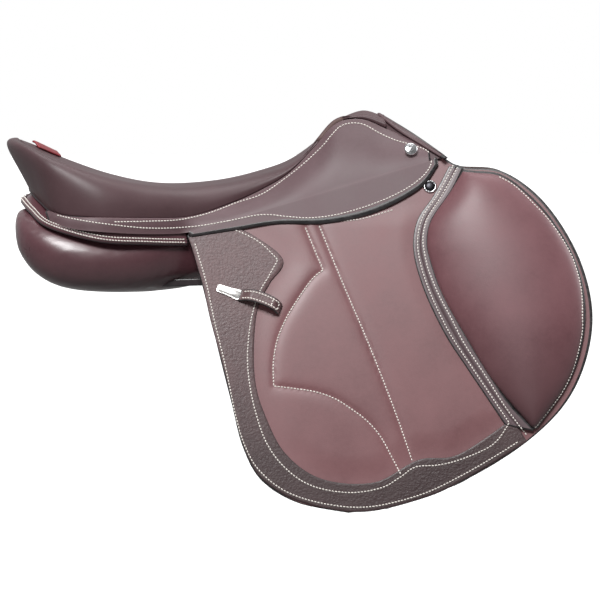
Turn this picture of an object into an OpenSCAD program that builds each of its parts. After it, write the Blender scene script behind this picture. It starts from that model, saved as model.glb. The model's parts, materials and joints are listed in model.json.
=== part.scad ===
// English saddle, close-contact jumping pattern with a forward flap.
// +X points to the horse's head, +Y to the horse's left, +Z up.
// The origin lies on the centre plane, under the lowest part of the seat,
// at the height of the horse's back. Millimetres.

/* [Hinge line of the flap and skirt] */
// X of the rear end of the line
hinge_x = -16; // [-20:1:-12]
// Z of the rear end of the line
hinge_z = 60; // [56:1:62]
// Distance of the rear end from the centre plane
hinge_y = 114; // [112:1:118]
// Slope of the line, in degrees, rising to the front
hinge_slope = 16.5; // [16:0.5:17]
// How much the line closes on the centre plane, per millimetre
hinge_toe_in = 0.12; // [0.1:0.01:0.13]

/* [Flap] */
// Thickness of the flap leather
flap_t = 4; // [3:0.5:4.5]
// Outward slope of the flap at the hinge line
flap_splay = 0.36; // [0.32:0.01:0.4]
// How fast that slope falls towards the lower edge
flap_curl = 0.00025; // [0.0001:0.00005:0.0003]
// Thickness of the grained border
border_t = 1.6; // [1:0.1:2]
// How far the knee block stands out
block_rise = 36; // [28:1:42]
// Furthest that the flap lifts, in degrees
flap_lift = 70; // [40:5:75]

/* [Under the flap] */
// From the flap's face to the sweat flap's face
layer_gap = 19; // [18:0.5:22]
// Thickness of the sweat flap
sweat_t = 5; // [3:0.5:5.5]
// Width of a girth strap
billet_w = 25; // [22:1:28]
// Thickness of a girth strap
billet_t = 4.2; // [3.5:0.1:4.5]
// Length of a girth strap below its pivot
billet_len = 262; // [230:1:265]
// Number of punched holes in a girth strap
billet_holes = 7; // [4:1:8]
// Diameter of a punched hole
hole_d = 5; // [4:0.5:6]
// Pitch of the punched holes
hole_pitch = 22; // [18:1:24]

/* [Seat] */
// Thickness of the seat leather
cover_t = 3; // [2:0.5:3]
// Depth of the seat foam
foam_t = 17; // [12:1:18]
// Thickness of the skirt leather
skirt_t = 4; // [3:0.5:4]

/* [Stirrup bar] */
// Free length of the bar that takes the stirrup leather
bar_len = 56; // [50:1:58]
// Height of the bar's section
bar_h = 13; // [11:1:14]
// Thickness of the bar's section
bar_t = 6; // [5:0.5:6.5]
// Diameter of the pin that the safety catch turns on
pin_d = 4; // [3:0.5:5]
// Furthest that the catch opens, in degrees
catch_open = 70; // [40:5:80]

/* [Hidden] */
$fn = 48;

LEATHER = [0.36, 0.24, 0.25];
GRAINED = [0.28, 0.21, 0.21];
BLACK_EDGE = [0.08, 0.07, 0.07];
STEEL = [0.72, 0.72, 0.74];
WOOD = [0.72, 0.55, 0.36];
WEB = [0.86, 0.82, 0.7];
FOAM = [0.92, 0.9, 0.8];

// ---- curves -------------------------------------------------------------

// Smooth curve through the points p, with t from 0 to 1 along them.
function curve(p, t) =
    let (
        n = len(p) - 1,
        i = min(floor(t * n), n - 1),
        f = t * n - i,
        a = p[max(i - 1, 0)],
        b = p[i],
        c = p[i + 1],
        d = p[min(i + 2, n)]
    )
    0.5 * (2 * b + (c - a) * f + (2 * a - 5 * b + 4 * c - d) * f * f
        + (3 * b - a - 3 * c + d) * f * f * f);

function mix(a, b, t) = a * (1 - t) + b * t;
function unit(v) = v / norm(v);
function ease(t) = t <= 0 ? 0 : t >= 1 ? 1 : t * t * (3 - 2 * t);

// ---- solids from grids of points ------------------------------------------

// Six times the volume inside the faces, negative where they face inward.
function signed_volume(points, faces) = [for (f = faces) 1] * [for (f = faces)
    [for (k = [1:len(f) - 2]) 1] * [for (k = [1:len(f) - 2])
        points[f[0]] * cross(points[f[k]], points[f[k + 1]])]];
function reversed(f) = [for (k = [len(f) - 1:-1:0]) f[k]];

// Closed solid, whichever way round its faces are listed.
module closed_solid(points, faces) {
    inward = signed_volume(points, faces) > 0;
    polyhedron(points, inward ? [for (f = faces) reversed(f)] : faces, convexity = 8);
}

// Closed solid between two grids of the same size, rows by columns.
module sheet_solid(top, bottom) {
    rows = len(top);
    cols = len(top[0]);
    function id(i, j, k) = (k * rows + i) * cols + j;
    points = [for (g = [top, bottom]) for (row = g) for (p = row) p];
    faces = concat(
        [for (i = [0:rows - 2]) for (j = [0:cols - 2]) for (f = [
            [id(i, j, 0), id(i, j + 1, 0), id(i + 1, j + 1, 0)],
            [id(i, j, 0), id(i + 1, j + 1, 0), id(i + 1, j, 0)],
            [id(i, j, 1), id(i + 1, j + 1, 1), id(i, j + 1, 1)],
            [id(i, j, 1), id(i + 1, j, 1), id(i + 1, j + 1, 1)]
        ]) f],
        [for (j = [0:cols - 2]) for (f = [
            [id(0, j, 0), id(0, j, 1), id(0, j + 1, 1)],
            [id(0, j, 0), id(0, j + 1, 1), id(0, j + 1, 0)],
            [id(rows - 1, j, 0), id(rows - 1, j + 1, 1), id(rows - 1, j, 1)],
            [id(rows - 1, j, 0), id(rows - 1, j + 1, 0), id(rows - 1, j + 1, 1)]
        ]) f],
        [for (i = [0:rows - 2]) for (f = [
            [id(i, 0, 0), id(i + 1, 0, 1), id(i, 0, 1)],
            [id(i, 0, 0), id(i + 1, 0, 0), id(i + 1, 0, 1)],
            [id(i, cols - 1, 0), id(i, cols - 1, 1), id(i + 1, cols - 1, 1)],
            [id(i, cols - 1, 0), id(i + 1, cols - 1, 1), id(i + 1, cols - 1, 0)]
        ]) f]
    );
    closed_solid(points, faces);
}

// Closed solid through a list of rings, each with the same number of points.
module ring_solid(rings) {
    n = len(rings[0]);
    last = len(rings) - 1;
    points = [for (r = rings) for (p = r) p];
    faces = concat(
        [for (i = [0:last - 1]) for (j = [0:n - 1]) for (f = [
            [i * n + j, (i + 1) * n + (j + 1) % n, i * n + (j + 1) % n],
            [i * n + j, (i + 1) * n + j, (i + 1) * n + (j + 1) % n]
        ]) f],
        [[for (j = [0:n - 1]) j]],
        [[for (j = [n - 1:-1:0]) last * n + j]]
    );
    closed_solid(points, faces);
}

// Everything is drawn on the left side; the right side is its mirror image.
module on_side(side) {
    if (side > 0) children();
    else mirror([0, 1, 0]) children();
}

// Grid between two edge curves in the XZ plane, lifted to a face of the flap.
function face_grid(edge_a, edge_b, rows, cols, lift) = [for (i = [0:rows])
    [for (j = [0:cols])
        let (q = mix(curve(edge_a, i / rows), curve(edge_b, i / rows), j / cols))
        [q[0], flap_y(q[0], q[1]) + lift, q[1]]]];

// ---- the flap's surface ----------------------------------------------------

// Distance below the hinge line, and distance along it.
function below_hinge(x, z) =
    (x - hinge_x) * sin(hinge_slope) - (z - hinge_z) * cos(hinge_slope);
function along_hinge(x, z) =
    (x - hinge_x) * cos(hinge_slope) + (z - hinge_z) * sin(hinge_slope);

// Distance of the flap's middle layer from the centre plane.
function flap_y(x, z) =
    let (d = below_hinge(x, z))
    hinge_y - hinge_toe_in * along_hinge(x, z) + flap_splay * d - flap_curl * d * d;

// Unit vector along the left hinge line, and the line's rear end.
// The line lies on the outer face of the skirt, so that nothing binds.
hinge_dir = unit([cos(hinge_slope), -hinge_toe_in, sin(hinge_slope)]);
hinge_out = 7.2;

// Faces of the layers, measured outward from the flap's middle layer.
flap_face = flap_t / 2;
skirt_inner = flap_face + 0.6;
sweat_face = -flap_face - layer_gap + flap_t / 2;

// Edges of the flap in the XZ plane, from the hinge line to the lowest edge.
FLAP_REAR = [[-15, 57.5], [-7, 37], [3.5, 0], [15, -45], [26.5, -91],
    [37.5, -133], [50, -181], [71, -219], [112, -244.5], [170, -256.2]];
FLAP_FRONT = [[281, 145.5], [303, 134], [352, 128], [400, 90], [438, 25],
    [450, -45], [429, -117], [381, -171.5], [302, -220.5], [215, -251.8]];

// Edges of the grained border, from the rear top corner to the knee block.
BORDER_OUTER = [[-13, 54], [-8, 40], [-2, 20], [4.5, -2], [13, -40],
    [27.5, -91], [38.5, -133], [51, -181], [72, -218], [116, -243.5], [184, -255.5],
    [255, -240.5], [302, -219.5], [374, -177.5]];
BORDER_INNER = [[30, 64], [60, 54], [88, 30], [80, 8], [66, -25],
    [62, -91], [70, -133], [84, -174], [108, -204], [150, -224], [207, -229],
    [250, -205], [296, -198], [352, -160]];

// Edges of the knee block: the seam on the flap, then its front edge.
BLOCK_REAR = [[304, 129], [289, 108], [267, 76], [261, 45], [265, 22],
    [280, -14], [307, -62], [336, -109], [376, -158]];
BLOCK_FRONT = [[316, 127], [348, 122], [376, 107], [400, 82], [422, 50],
    [438, 10], [443, -40], [428, -96], [386, -154]];

// Edges of the sweat flap.
SWEAT_REAR = [[8, -4], [11, -12], [15, -26], [22, -52], [33, -91],
    [44, -133], [58, -178], [80, -214], [118, -236], [172, -247]];
SWEAT_FRONT = [[288, 96], [326, 110], [368, 100], [406, 72], [436, 16],
    [446, -45], [422, -112], [374, -164], [300, -222], [215, -246]];

// Lower edge of the free part of the skirt, and the same stretch of its fold.
SKIRT_FOLD = [[-11, 60.5], [38, 75], [92, 91], [146, 107], [200, 123], [250, 138], [270, 144]];
SKIRT_EDGE = [[-9, 58.5], [40, 66], [88, 73], [146, 74], [200, 86], [250, 112], [271, 138]];

// ---- the seat's surface -----------------------------------------------------

// Points from the back of the cantle to the pommel, on the left side.
SEAT_CENTRE = [[-210, 0, 165], [-186, 0, 146], [-160, 0, 135], [-125, 0, 126],
    [-80, 0, 118], [-35, 0, 115], [0, 0, 117], [32, 0, 121.5], [66, 0, 130],
    [100, 0, 142], [130, 0, 162], [156, 0, 187], [186, 0, 200], [206, 0, 196]];
SEAT_CREST = [[-215, 0, 169], [-213, 46, 168], [-198, 84, 161], [-164, 112, 144.5],
    [-115, 114, 126.5], [-62, 96, 115], [-14, 74, 112.5], [28, 56, 117.5], [66, 44, 126.5],
    [102, 36, 139], [132, 28, 161.5], [157, 22, 186], [187, 20, 197], [209, 19, 192.5]];
SEAT_SEAM = [[-202, 0, 114], [-199, 52, 109], [-185, 92, 96], [-164, 126, 83],
    [-115, 144, 79], [-62, 131, 78], [-14, 111, 79], [28, 94, 92], [66, 80, 108],
    [102, 68, 129], [132, 55, 159], [157, 43, 187], [187, 38, 191], [214, 41, 181]];

// How far the side swells out between crest and seam: most at the cantle.
function side_swell(u) = 3 + 15 * ease(1 - u * 2.6);

// Point of the seat: u from cantle to pommel, v from the centre (0) to the
// crest (1) and on down the side to the seam (2).
function seat_point(u, v) =
    let (m = curve(SEAT_CENTRE, u), c = curve(SEAT_CREST, u), b = curve(SEAT_SEAM, u))
    v <= 1 ? [mix(m[0], c[0], v), mix(m[1], c[1], v), mix(m[2], c[2], pow(v, 1.8))]
    : let (
        w = v - 1,
        run = curve(SEAT_CREST, min(u + 0.01, 1)) - curve(SEAT_CREST, max(u - 0.01, 0)),
        out = unit([-run[1], run[0], 0]),
        p = [mix(c[0], b[0], sin(90 * w)), mix(c[1], b[1], sin(90 * w)),
            mix(c[2], b[2], 1 - cos(90 * w))]
    )
    p + out * side_swell(u) * sin(180 * pow(w, 0.75));

function seat_normal(u, v) =
    let (
        e = 0.01,
        s = max(u, 2 * e),
        du = seat_point(min(s + e, 1), v) - seat_point(s - e, v),
        dv = seat_point(s, min(v + e, 2)) - seat_point(s, max(v - e, 0))
    )
    unit(cross(dv, du));

// Half grid of the seat, sunk below the surface along its normal.
function seat_grid(u0, u1, rows, v1, cols, sink) = [for (i = [0:rows])
    [for (j = [0:cols])
        let (
            u = mix(u0, u1, i / rows),
            v = v1 * j / cols,
            n = seat_normal(u, v),
            on_centre = j == 0 || (i == 0 && u0 == 0),
            p = seat_point(u, v) - sink * (on_centre ? unit([n[0], 0, n[2]]) : n)
        )
        [p[0], on_centre ? 0 : p[1], p[2]]]];

// Half grid that copies the top of the seat, moved straight down.
function seat_layer(u0, u1, rows, v1, cols, drop) = [for (i = [0:rows])
    [for (j = [0:cols])
        let (p = seat_point(mix(u0, u1, i / rows), v1 * j / cols))
        [p[0], j == 0 ? 0 : p[1], p[2] - drop]]];

// Full-width grid from a half grid.
function full_width(g) = [for (row = g) concat(
    [for (j = [len(row) - 1:-1:1]) [row[j][0], -row[j][1], row[j][2]]], row)];

// Closed skin that meets itself on the centre plane at the back and along the
// middle: only its seam and its front end have walls.
module mirrored_skin(top, bottom) {
    rows = len(top);
    cols = len(top[0]);
    half = [for (g = [top, bottom]) for (row = g) for (p = row) p];
    points = concat(half, [for (p = half) [p[0], -p[1], p[2]]]);
    function id(i, j, k) = (k * rows + i) * cols + j;
    left = concat(
        [for (i = [0:rows - 2]) for (j = [0:cols - 2]) for (f = [
            [id(i, j, 0), id(i, j + 1, 0), id(i + 1, j + 1, 0)],
            [id(i, j, 0), id(i + 1, j + 1, 0), id(i + 1, j, 0)],
            [id(i, j, 1), id(i + 1, j + 1, 1), id(i, j + 1, 1)],
            [id(i, j, 1), id(i + 1, j, 1), id(i + 1, j + 1, 1)]
        ]) f],
        [for (j = [0:cols - 2]) for (f = [
            [id(rows - 1, j, 0), id(rows - 1, j + 1, 1), id(rows - 1, j, 1)],
            [id(rows - 1, j, 0), id(rows - 1, j + 1, 0), id(rows - 1, j + 1, 1)]
        ]) f],
        [for (i = [0:rows - 2]) for (f = [
            [id(i, cols - 1, 0), id(i, cols - 1, 1), id(i + 1, cols - 1, 1)],
            [id(i, cols - 1, 0), id(i + 1, cols - 1, 1), id(i + 1, cols - 1, 0)]
        ]) f]
    );
    n = len(half);
    right = [for (f = left) [f[0] + n, f[2] + n, f[1] + n]];
    closed_solid(points, concat(left, right));
}

// Grid along an arch from the right side, over the centre plane, to the left.
function arch_point(keys, w) =
    let (p = curve(keys, abs(w)))
    [p[0], w < 0 ? -p[1] : p[1], p[2]];
function arch_row(keys, n) = [for (j = [-n:n]) arch_point(keys, j / n)];

// The same row moved by x along X and by s off the arch, towards the horse.
function arch_row_off(keys, n, reach, x, s) = [for (j = [-n:n])
    let (
        w = reach * j / n,
        q = arch_point(keys, w + 0.02) - arch_point(keys, w - 0.02)
    )
    arch_point(keys, w) + [x, 0, 0] + unit([0, q[2], -q[1]]) * s];

// ---- the tree and its steel ---------------------------------------------------

RAIL = [[-166, 94, 98], [-115, 106, 74], [-58, 94, 67], [0, 76, 72],
    [60, 50, 87], [110, 46, 101], [150, 46, 113], [188, 54, 126]];
HEAD = [[184, 0, 177], [190, 44, 162], [199, 62, 134], [208, 70, 110], [216, 74, 88]];
CANTLE = [[-188, 0, 113], [-181, 56, 107], [-166, 90, 99]];

// Rectangle round a point: the first size lies along a, the second along b.
function slab_ring(p, a, b) = [p - a - b, p + a - b, p + a + b, p - a + b];

module tree_rail() {
    ring_solid([for (i = [0:14])
        let (p = curve(RAIL, i / 14))
        slab_ring(p, [0, -mix(17, 8, i / 14), 0], [0, 0, 4.5])]);
}

module tree_frame() {
    head_rings = [for (j = [-10:10])
        let (
            p = arch_point(HEAD, j / 10),
            q = arch_point(HEAD, min(j + 1, 10) / 10) - arch_point(HEAD, max(j - 1, -10) / 10),
            n = unit([0, -q[2], q[1]])
        )
        slab_ring(p, [13, 0, 0], n * 5.5)];
    cantle_rings = [for (j = [-8:8])
        let (p = arch_point(CANTLE, j / 8))
        slab_ring(p, [-4, 0, 0], [0, 0, 9])];
    color(WOOD) {
        for (side = [1, -1]) on_side(side) tree_rail();
        ring_solid(head_rings);
        ring_solid(cantle_rings);
    }
}

// Steel arch that follows the head: shift moves it along X, sink towards the horse.
module head_arch(x0, x1, sink, t, reach) {
    n = 10;
    sheet_solid(
        [arch_row_off(HEAD, n, reach, x0, sink + t), arch_row_off(HEAD, n, reach, x1, sink + t)],
        [arch_row_off(HEAD, n, reach, x0, sink), arch_row_off(HEAD, n, reach, x1, sink)]);
}

module head_plate() color(STEEL) head_arch(14, 17, -8, 15, 0.8);

module gullet_plate() color(STEEL) head_arch(-11, 12, 6, 3, 0.96);

module cantle_plate() {
    rows = [for (z = [-6, 6]) [for (j = [-6:6]) arch_point(CANTLE, j / 9) + [6, 0, z]]];
    shifted = [for (r = rows) [for (p = r) p + [2, 0, 0]]];
    color(STEEL) sheet_solid(shifted, rows);
}

module spring_steel(side) {
    function row(dy, dz) = [for (i = [0:12]) curve(RAIL, 0.1 + 0.72 * i / 12) + [0, dy, dz]];
    color(STEEL) on_side(side)
        sheet_solid([row(-6, 6.5), row(6, 6.5)], [row(-6, 5), row(6, 5)]);
}

module rivet(p) translate(p) {
    cylinder(d = 4, h = 14, center = true);
    translate([0, 0, 7]) cylinder(d = 8, h = 1.5);
}

module tree_rivets() {
    color(STEEL) for (side = [1, -1]) on_side(side)
        for (t = [0.14, 0.38, 0.6, 0.78]) rivet(curve(RAIL, t));
}

// ---- stirrup bar ----------------------------------------------------------------

// Centre of the catch's pin, on the left side, and the bar's slope.
bar_pin = [96, 78, 101];
bar_slope = 12;
bar_boss_d = 14;
tongue_t = 2.6;
catch_gap = 0.3;
plate_gap = 11;

// Draws its children with the pin at the origin and the bar along +X.
module at_bar(side) on_side(side) translate(bar_pin) rotate([0, -bar_slope, 0]) children();

module bar_solid() {
    // plate against the tree, root at the front, then the bar itself
    translate([0, -bar_t / 2 - plate_gap - 4, -bar_h / 2 - 2]) cube([bar_len + 18, 4, bar_h + 6]);
    translate([bar_len, -bar_t / 2 - plate_gap - 1, -bar_h / 2])
        cube([18, plate_gap + 1 + bar_t, bar_h]);
    translate([0, -bar_t / 2, -bar_h / 2]) cube([bar_len + 1, bar_t, bar_h]);
    rotate([90, 0, 0]) cylinder(d = bar_boss_d, h = bar_t, center = true);
}

module stirrup_bar(side) {
    color(STEEL) at_bar(side) difference() {
        bar_solid();
        rotate([90, 0, 0]) cylinder(d = pin_d, h = bar_t + 2, center = true);
        // slot that the catch's tongue turns in
        translate([-bar_boss_d, -tongue_t / 2 - catch_gap, -bar_boss_d])
            cube([bar_boss_d * 1.55, tongue_t + 2 * catch_gap, 2 * bar_boss_d]);
        // rivet holes in the plate
        for (x = [12, bar_len - 4]) translate([x, 0, 6.5])
            rotate([90, 0, 0]) cylinder(d = 3, h = 60);
    }
}

module bar_catch(side) {
    color(STEEL) at_bar(side) difference() {
        union() {
            rotate([90, 0, 0]) cylinder(d = bar_boss_d - 2, h = tongue_t, center = true);
            translate([-12, -tongue_t / 2, -5]) cube([12, tongue_t, 10]);
            translate([-19, -bar_t / 2, -6]) cube([10.5, bar_t, 12]);
        }
        rotate([90, 0, 0]) cylinder(d = pin_d + 0.1, h = bar_t + 2, center = true);
    }
}

module catch_pin(side)
    color(STEEL) at_bar(side) rotate([90, 0, 0]) cylinder(d = pin_d, h = bar_t, center = true);

// ---- webs, foam and seat -----------------------------------------------------------

module seat_webbing() {
    drop = cover_t + foam_t + 1.5;
    color(WEB) sheet_solid(
        full_width(seat_layer(0.13, 0.84, 16, 0.4, 2, drop)),
        full_width(seat_layer(0.13, 0.84, 16, 0.4, 2, drop + 2)));
}

module cross_webbing() {
    drop = cover_t + foam_t + 4;
    color(WEB) for (u = [0.3, 0.46]) sheet_solid(
        full_width(seat_layer(u, u + 0.07, 2, 0.9, 4, drop)),
        full_width(seat_layer(u, u + 0.07, 2, 0.9, 4, drop + 2)));
}

module seat_foam() {
    color(FOAM) sheet_solid(
        full_width(seat_layer(0.06, 0.84, 18, 0.94, 5, cover_t + 1)),
        full_width(seat_layer(0.06, 0.84, 18, 0.94, 5, cover_t + foam_t)));
}

module seat_cover() {
    color(LEATHER) mirrored_skin(
        seat_grid(0, 1, 26, 2, 12, 0),
        seat_grid(0, 1, 26, 2, 12, cover_t));
}

// Welt: a round cord of leather that follows the seam.
module seat_welt() {
    n = 34;
    rings = [for (j = [-n:n])
        let (
            u = abs(j) / n,
            s = curve(SEAT_SEAM, u),
            p = [s[0], j < 0 ? -s[1] : s[1], s[2] - 2.2 - 5 * pow(u, 4)],
            a = curve(SEAT_SEAM, max(u - 0.01, 0)),
            b = curve(SEAT_SEAM, min(u + 0.01, 1)),
            side = j < 0 ? -1 : 1,
            out = j == 0 ? [-1, 0, 0] : unit([-(b[1] - a[1]), side * (b[0] - a[0]), 0])
        )
        [for (k = [0:7]) p - 2 * out + 1.6 * (out * cos(45 * k) + [0, 0, 1] * sin(45 * k))]];
    color(LEATHER) ring_solid(rings);
}

module cantle_tag() {
    top = [for (row = seat_grid(0.15, 0.215, 3, 1, 8, -2.4)) [row[6], row[7], row[8]]];
    low = [for (row = seat_grid(0.15, 0.215, 3, 1, 8, -0.7)) [row[6], row[7], row[8]]];
    color([0.5, 0.08, 0.1]) sheet_solid(top, low);
}

// ---- pommel facing and skirts ---------------------------------------------------------

FACING_TOP = [[209, 0, 197], [214, 26, 192.5], [232, 50, 178.5], [258, 70, 162.5], [280, 86, 149]];
FACING_FRONT = [[214, 0, 194], [224, 27, 188], [246, 54, 174], [268, 76, 158.5], [285, 90, 146]];

module pommel_facing() {
    n = 12;
    color(LEATHER) sheet_solid(
        [arch_row_off(FACING_TOP, n, 0.98, 0, 0), arch_row_off(FACING_FRONT, n, 0.98, 0, 0)],
        [arch_row_off(FACING_TOP, n, 0.98, -2, 3.5), arch_row_off(FACING_FRONT, n, 0.98, -2, 3.5)]);
}

// Upper edge of the skirt, just outside the seat's seam and the facing.
SKIRT_TOP = [[-176, 123, 85], [-150, 140, 78], [-115, 148, 77], [-62, 135, 76], [-14, 115, 77],
    [28, 98, 89], [66, 84.5, 105], [102, 73, 126], [132, 60, 156], [157, 48, 184],
    [187, 43, 188.5], [214, 46, 178], [240, 60, 167], [262, 74, 156]];
SKIRT_LOW = [[-172, 130, 74], [-150, 143, 66], [-115, 151, 62], [-62, 138.5, 59], [-14, 119.5, 60.5],
    [28, 115, 74.1], [66, 110.5, 85.4], [102, 106.3, 96], [132, 102.5, 105], [160, 99, 113.3],
    [190, 95.5, 122.2], [218, 92, 130.5], [242, 89.5, 137.6], [264, 86.5, 144.2]];

module skirt_top(side) {
    rows = 26;
    cols = 4;
    function p(i, j, s) =
        let (a = curve(SKIRT_TOP, i / rows), b = curve(SKIRT_LOW, i / rows), t = j / cols,
            q = mix(a, b, t), bulge = norm(a - b) * 0.06 * sin(180 * t))
        [q[0], q[1] + bulge - s, q[2] + bulge * 0.5 - s * 0.4 * (1 - t)];
    function grid(s) = [for (i = [0:rows]) [for (j = [0:cols]) p(i, j, s)]];
    color(LEATHER) on_side(side) sheet_solid(grid(skirt_t), grid(0));
}

module skirt(side) {
    color(LEATHER) on_side(side) sheet_solid(
        face_grid(SKIRT_FOLD, SKIRT_EDGE, 18, 3, skirt_inner),
        face_grid(SKIRT_FOLD, SKIRT_EDGE, 18, 3, skirt_inner + skirt_t));
}

module skirt_nail(side) {
    color(STEEL) on_side(side) translate([243, 81.5, 155.5]) rotate([-62, 14, 0]) {
        translate([0, 0, -12]) cylinder(d = 3, h = 14);
        cylinder(d1 = 15.5, d2 = 12, h = 3);
    }
}

// ---- flaps -----------------------------------------------------------------------------

module flap(side) {
    color(LEATHER) on_side(side) sheet_solid(
        face_grid(FLAP_REAR, FLAP_FRONT, 20, 10, -flap_t / 2),
        face_grid(FLAP_REAR, FLAP_FRONT, 20, 10, flap_t / 2));
}

module flap_border(side) {
    color(GRAINED) on_side(side) sheet_solid(
        face_grid(BORDER_OUTER, BORDER_INNER, 30, 2, flap_face + 0.1),
        face_grid(BORDER_OUTER, BORDER_INNER, 30, 2, flap_face + 0.1 + border_t));
}

module knee_block(side) {
    rows = 18;
    cols = 10;
    under = face_grid(BLOCK_REAR, BLOCK_FRONT, rows, cols, flap_face + 0.1);
    function rise(i, j) =
        5 + (block_rise - 5) * sin(180 * pow(j / cols, 1.4)) * pow(sin(180 * i / rows), 0.6);
    over = [for (i = [0:rows]) [for (j = [0:cols])
        under[i][j] + [0, rise(i, j), 0]]];
    color(LEATHER) on_side(side) sheet_solid(under, over);
}

// Turns its children so that +Z leaves the flap's outer face at x, z.
module on_flap(side, x, z) {
    dx = flap_y(x + 1, z) - flap_y(x - 1, z);
    dz = flap_y(x, z + 1) - flap_y(x, z - 1);
    on_side(side) translate([x, flap_y(x, z) + flap_face, z])
        rotate([-atan(dz / 2), 0, atan(dx / 2)]) rotate([-90, 0, 0]) children();
}

module flap_stud(side) {
    color(BLACK_EDGE) on_flap(side, 265, 112.5) {
        translate([0, 0, -3]) cylinder(d = 4, h = 4);
        translate([0, 0, 0.2]) cylinder(d1 = 16, d2 = 13.5, h = 3);
    }
}

module keeper_plate(side) {
    color(STEEL) on_flap(side, 34, -8) rotate([0, 0, 20]) translate([-15, -6.5, border_t + 0.5])
        cube([29, 13, 1]);
}

// Loop of strap that stands off the flap, with its two ends on the border.
loop_room = 7;
module keeper_strap(side) {
    base = border_t + 1.7;
    color(GRAINED) on_flap(side, 34, -8) rotate([0, 0, 20]) difference() {
        translate([4, -6, base]) cube([52, 12, loop_room + 3]);
        translate([14, -7, base - 1]) cube([34, 14, loop_room + 1]);
        translate([3, -7, base + 3]) rotate([0, -52, 0]) cube([20, 14, 20]);
    }
}

// ---- panels and sweat flaps -----------------------------------------------------------

// Each row: X, then Y and Z of the section's centre, half width, half height.
PANEL = [[-214, 80, 69, 12, 12], [-208, 82, 64, 34, 24], [-190, 86, 52, 48, 34],
    [-160, 92, 40.5, 54, 38], [-115, 94, 32, 54, 35.5], [-58, 87, 29, 49, 32],
    [0, 72, 33, 38, 28], [60, 62, 44, 32, 26], [120, 60, 56, 30, 24],
    [180, 58, 62, 28, 22], [226, 58, 58, 24, 20], [238, 60, 54, 14, 12]];

module panel(side) {
    n = 14;
    rows = 24;
    rings = [for (i = [0:rows])
        let (k = curve(PANEL, i / rows))
        [for (j = [0:n - 1])
            let (
                a = 360 * j / n,
                c = sign(cos(a)) * pow(abs(cos(a)), 0.75) * k[3],
                s = sign(sin(a)) * pow(abs(sin(a)), 0.75) * k[4]
            )
            [k[0], k[1] + c, k[2] + s - 0.22 * c]]];
    color(LEATHER) on_side(side) ring_solid(rings);
}

BAND_TOP = [[-191, 34, 109], [-190, 60, 104], [-180, 90, 91], [-160, 120, 78],
    [-115, 137, 72.5], [-62, 126, 71.5], [-18, 108, 71]];
BAND_LOW = [[-207, 36, 97], [-205, 66, 95], [-194, 100, 84], [-172, 132, 68],
    [-115, 146, 53], [-62, 136, 49.5], [-16, 117, 48]];

module panel_band(side) {
    function row(keys, dx, dy) = [for (i = [0:16]) curve(keys, i / 16) + [dx, dy, 0]];
    color(LEATHER) on_side(side) sheet_solid(
        [row(BAND_TOP, 2, -2), row(BAND_LOW, 2, -2)],
        [row(BAND_TOP, 0, 0), row(BAND_LOW, 0, 0)]);
}

module panel_bridge_front() {
    keys = [[200, 0, 150], [202, 28, 138], [206, 42, 110], [208, 41, 84]];
    color(LEATHER) sheet_solid(
        [arch_row_off(keys, 8, 0.96, -8, 0), arch_row_off(keys, 8, 0.96, 20, 4)],
        [arch_row_off(keys, 8, 0.96, -8, 3), arch_row_off(keys, 8, 0.96, 20, 7)]);
}

module panel_bridge_rear() {
    keys = [[-186, 0, 104], [-186, 24, 101], [-186, 38, 93]];
    color(LEATHER) sheet_solid(
        [arch_row_off(keys, 6, 0.96, 0, 0), arch_row_off(keys, 6, 0.96, 26, 8)],
        [arch_row_off(keys, 6, 0.96, 0, 3), arch_row_off(keys, 6, 0.96, 26, 11)]);
}

module sweat_flap(side) {
    color(LEATHER) on_side(side) sheet_solid(
        face_grid(SWEAT_REAR, SWEAT_FRONT, 18, 8, sweat_face - sweat_t),
        face_grid(SWEAT_REAR, SWEAT_FRONT, 18, 8, sweat_face));
}

module point_pocket(side) {
    function row(x, z, y0) = [[x - 20, y0, z], [x, y0 + 1.5, z], [x + 20, y0 + 1, z]];
    color(LEATHER) on_side(side) sheet_solid(
        [row(206, 108, 80), row(212, 92, 82), row(216, 78, 82)],
        [row(206, 108, 83), row(212, 92, 85), row(216, 78, 85)]);
}

// ---- girth straps -----------------------------------------------------------------------

// The straps hang straight in the gap between the flap and the sweat flap.
billet_x = [62, 112];
billet_top = 70;
billet_set = sweat_face + layer_gap / 2 - 0.5;

function billet_head(x) = [x, flap_y(x, billet_top) + billet_set, billet_top];
function billet_lean(x) =
    atan((flap_y(x, billet_top - billet_len) - flap_y(x, billet_top)) / billet_len);

module at_billet(side, x) on_side(side) translate(billet_head(x)) rotate([billet_lean(x), 0, 0])
    children();

module billet(side, x) {
    r = billet_w / 2;
    round_top = [for (a = [0:15:180]) [r * cos(a), r * sin(a)]];
    tip = [[-r, -billet_len + 30], [-r * 0.4, -billet_len], [r * 0.4, -billet_len],
        [r, -billet_len + 30]];
    color(GRAINED) at_billet(side, x) difference() {
        rotate([90, 0, 0]) linear_extrude(height = billet_t, center = true)
            polygon(concat(round_top, tip));
        for (k = [0:billet_holes - 1])
            translate([0, 0, -billet_len + 38 + k * hole_pitch])
                rotate([90, 0, 0]) cylinder(d = hole_d, h = billet_t + 2, center = true);
    }
}

module girth_web(side) {
    mid = (billet_x[0] + billet_x[1]) / 2;
    y1 = flap_y(mid, billet_top) + billet_set - billet_t / 2 - 1;
    edge = [[48, 0], [mid, 0], [126, 0]];
    function row(y, z) = [for (x = [44, mid, 130]) [x, y + 0.02 * (mid - x), z]];
    color(WEB) on_side(side) sheet_solid(
        [row(y1 - 5, 81), row(y1 - 1, 72), row(y1 + 2, 62)],
        [row(y1 - 7, 80.5), row(y1 - 3, 71.5), row(y1, 61.5)]);
}

// ---- what is drawn -----------------------------------------------------------------------

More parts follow.
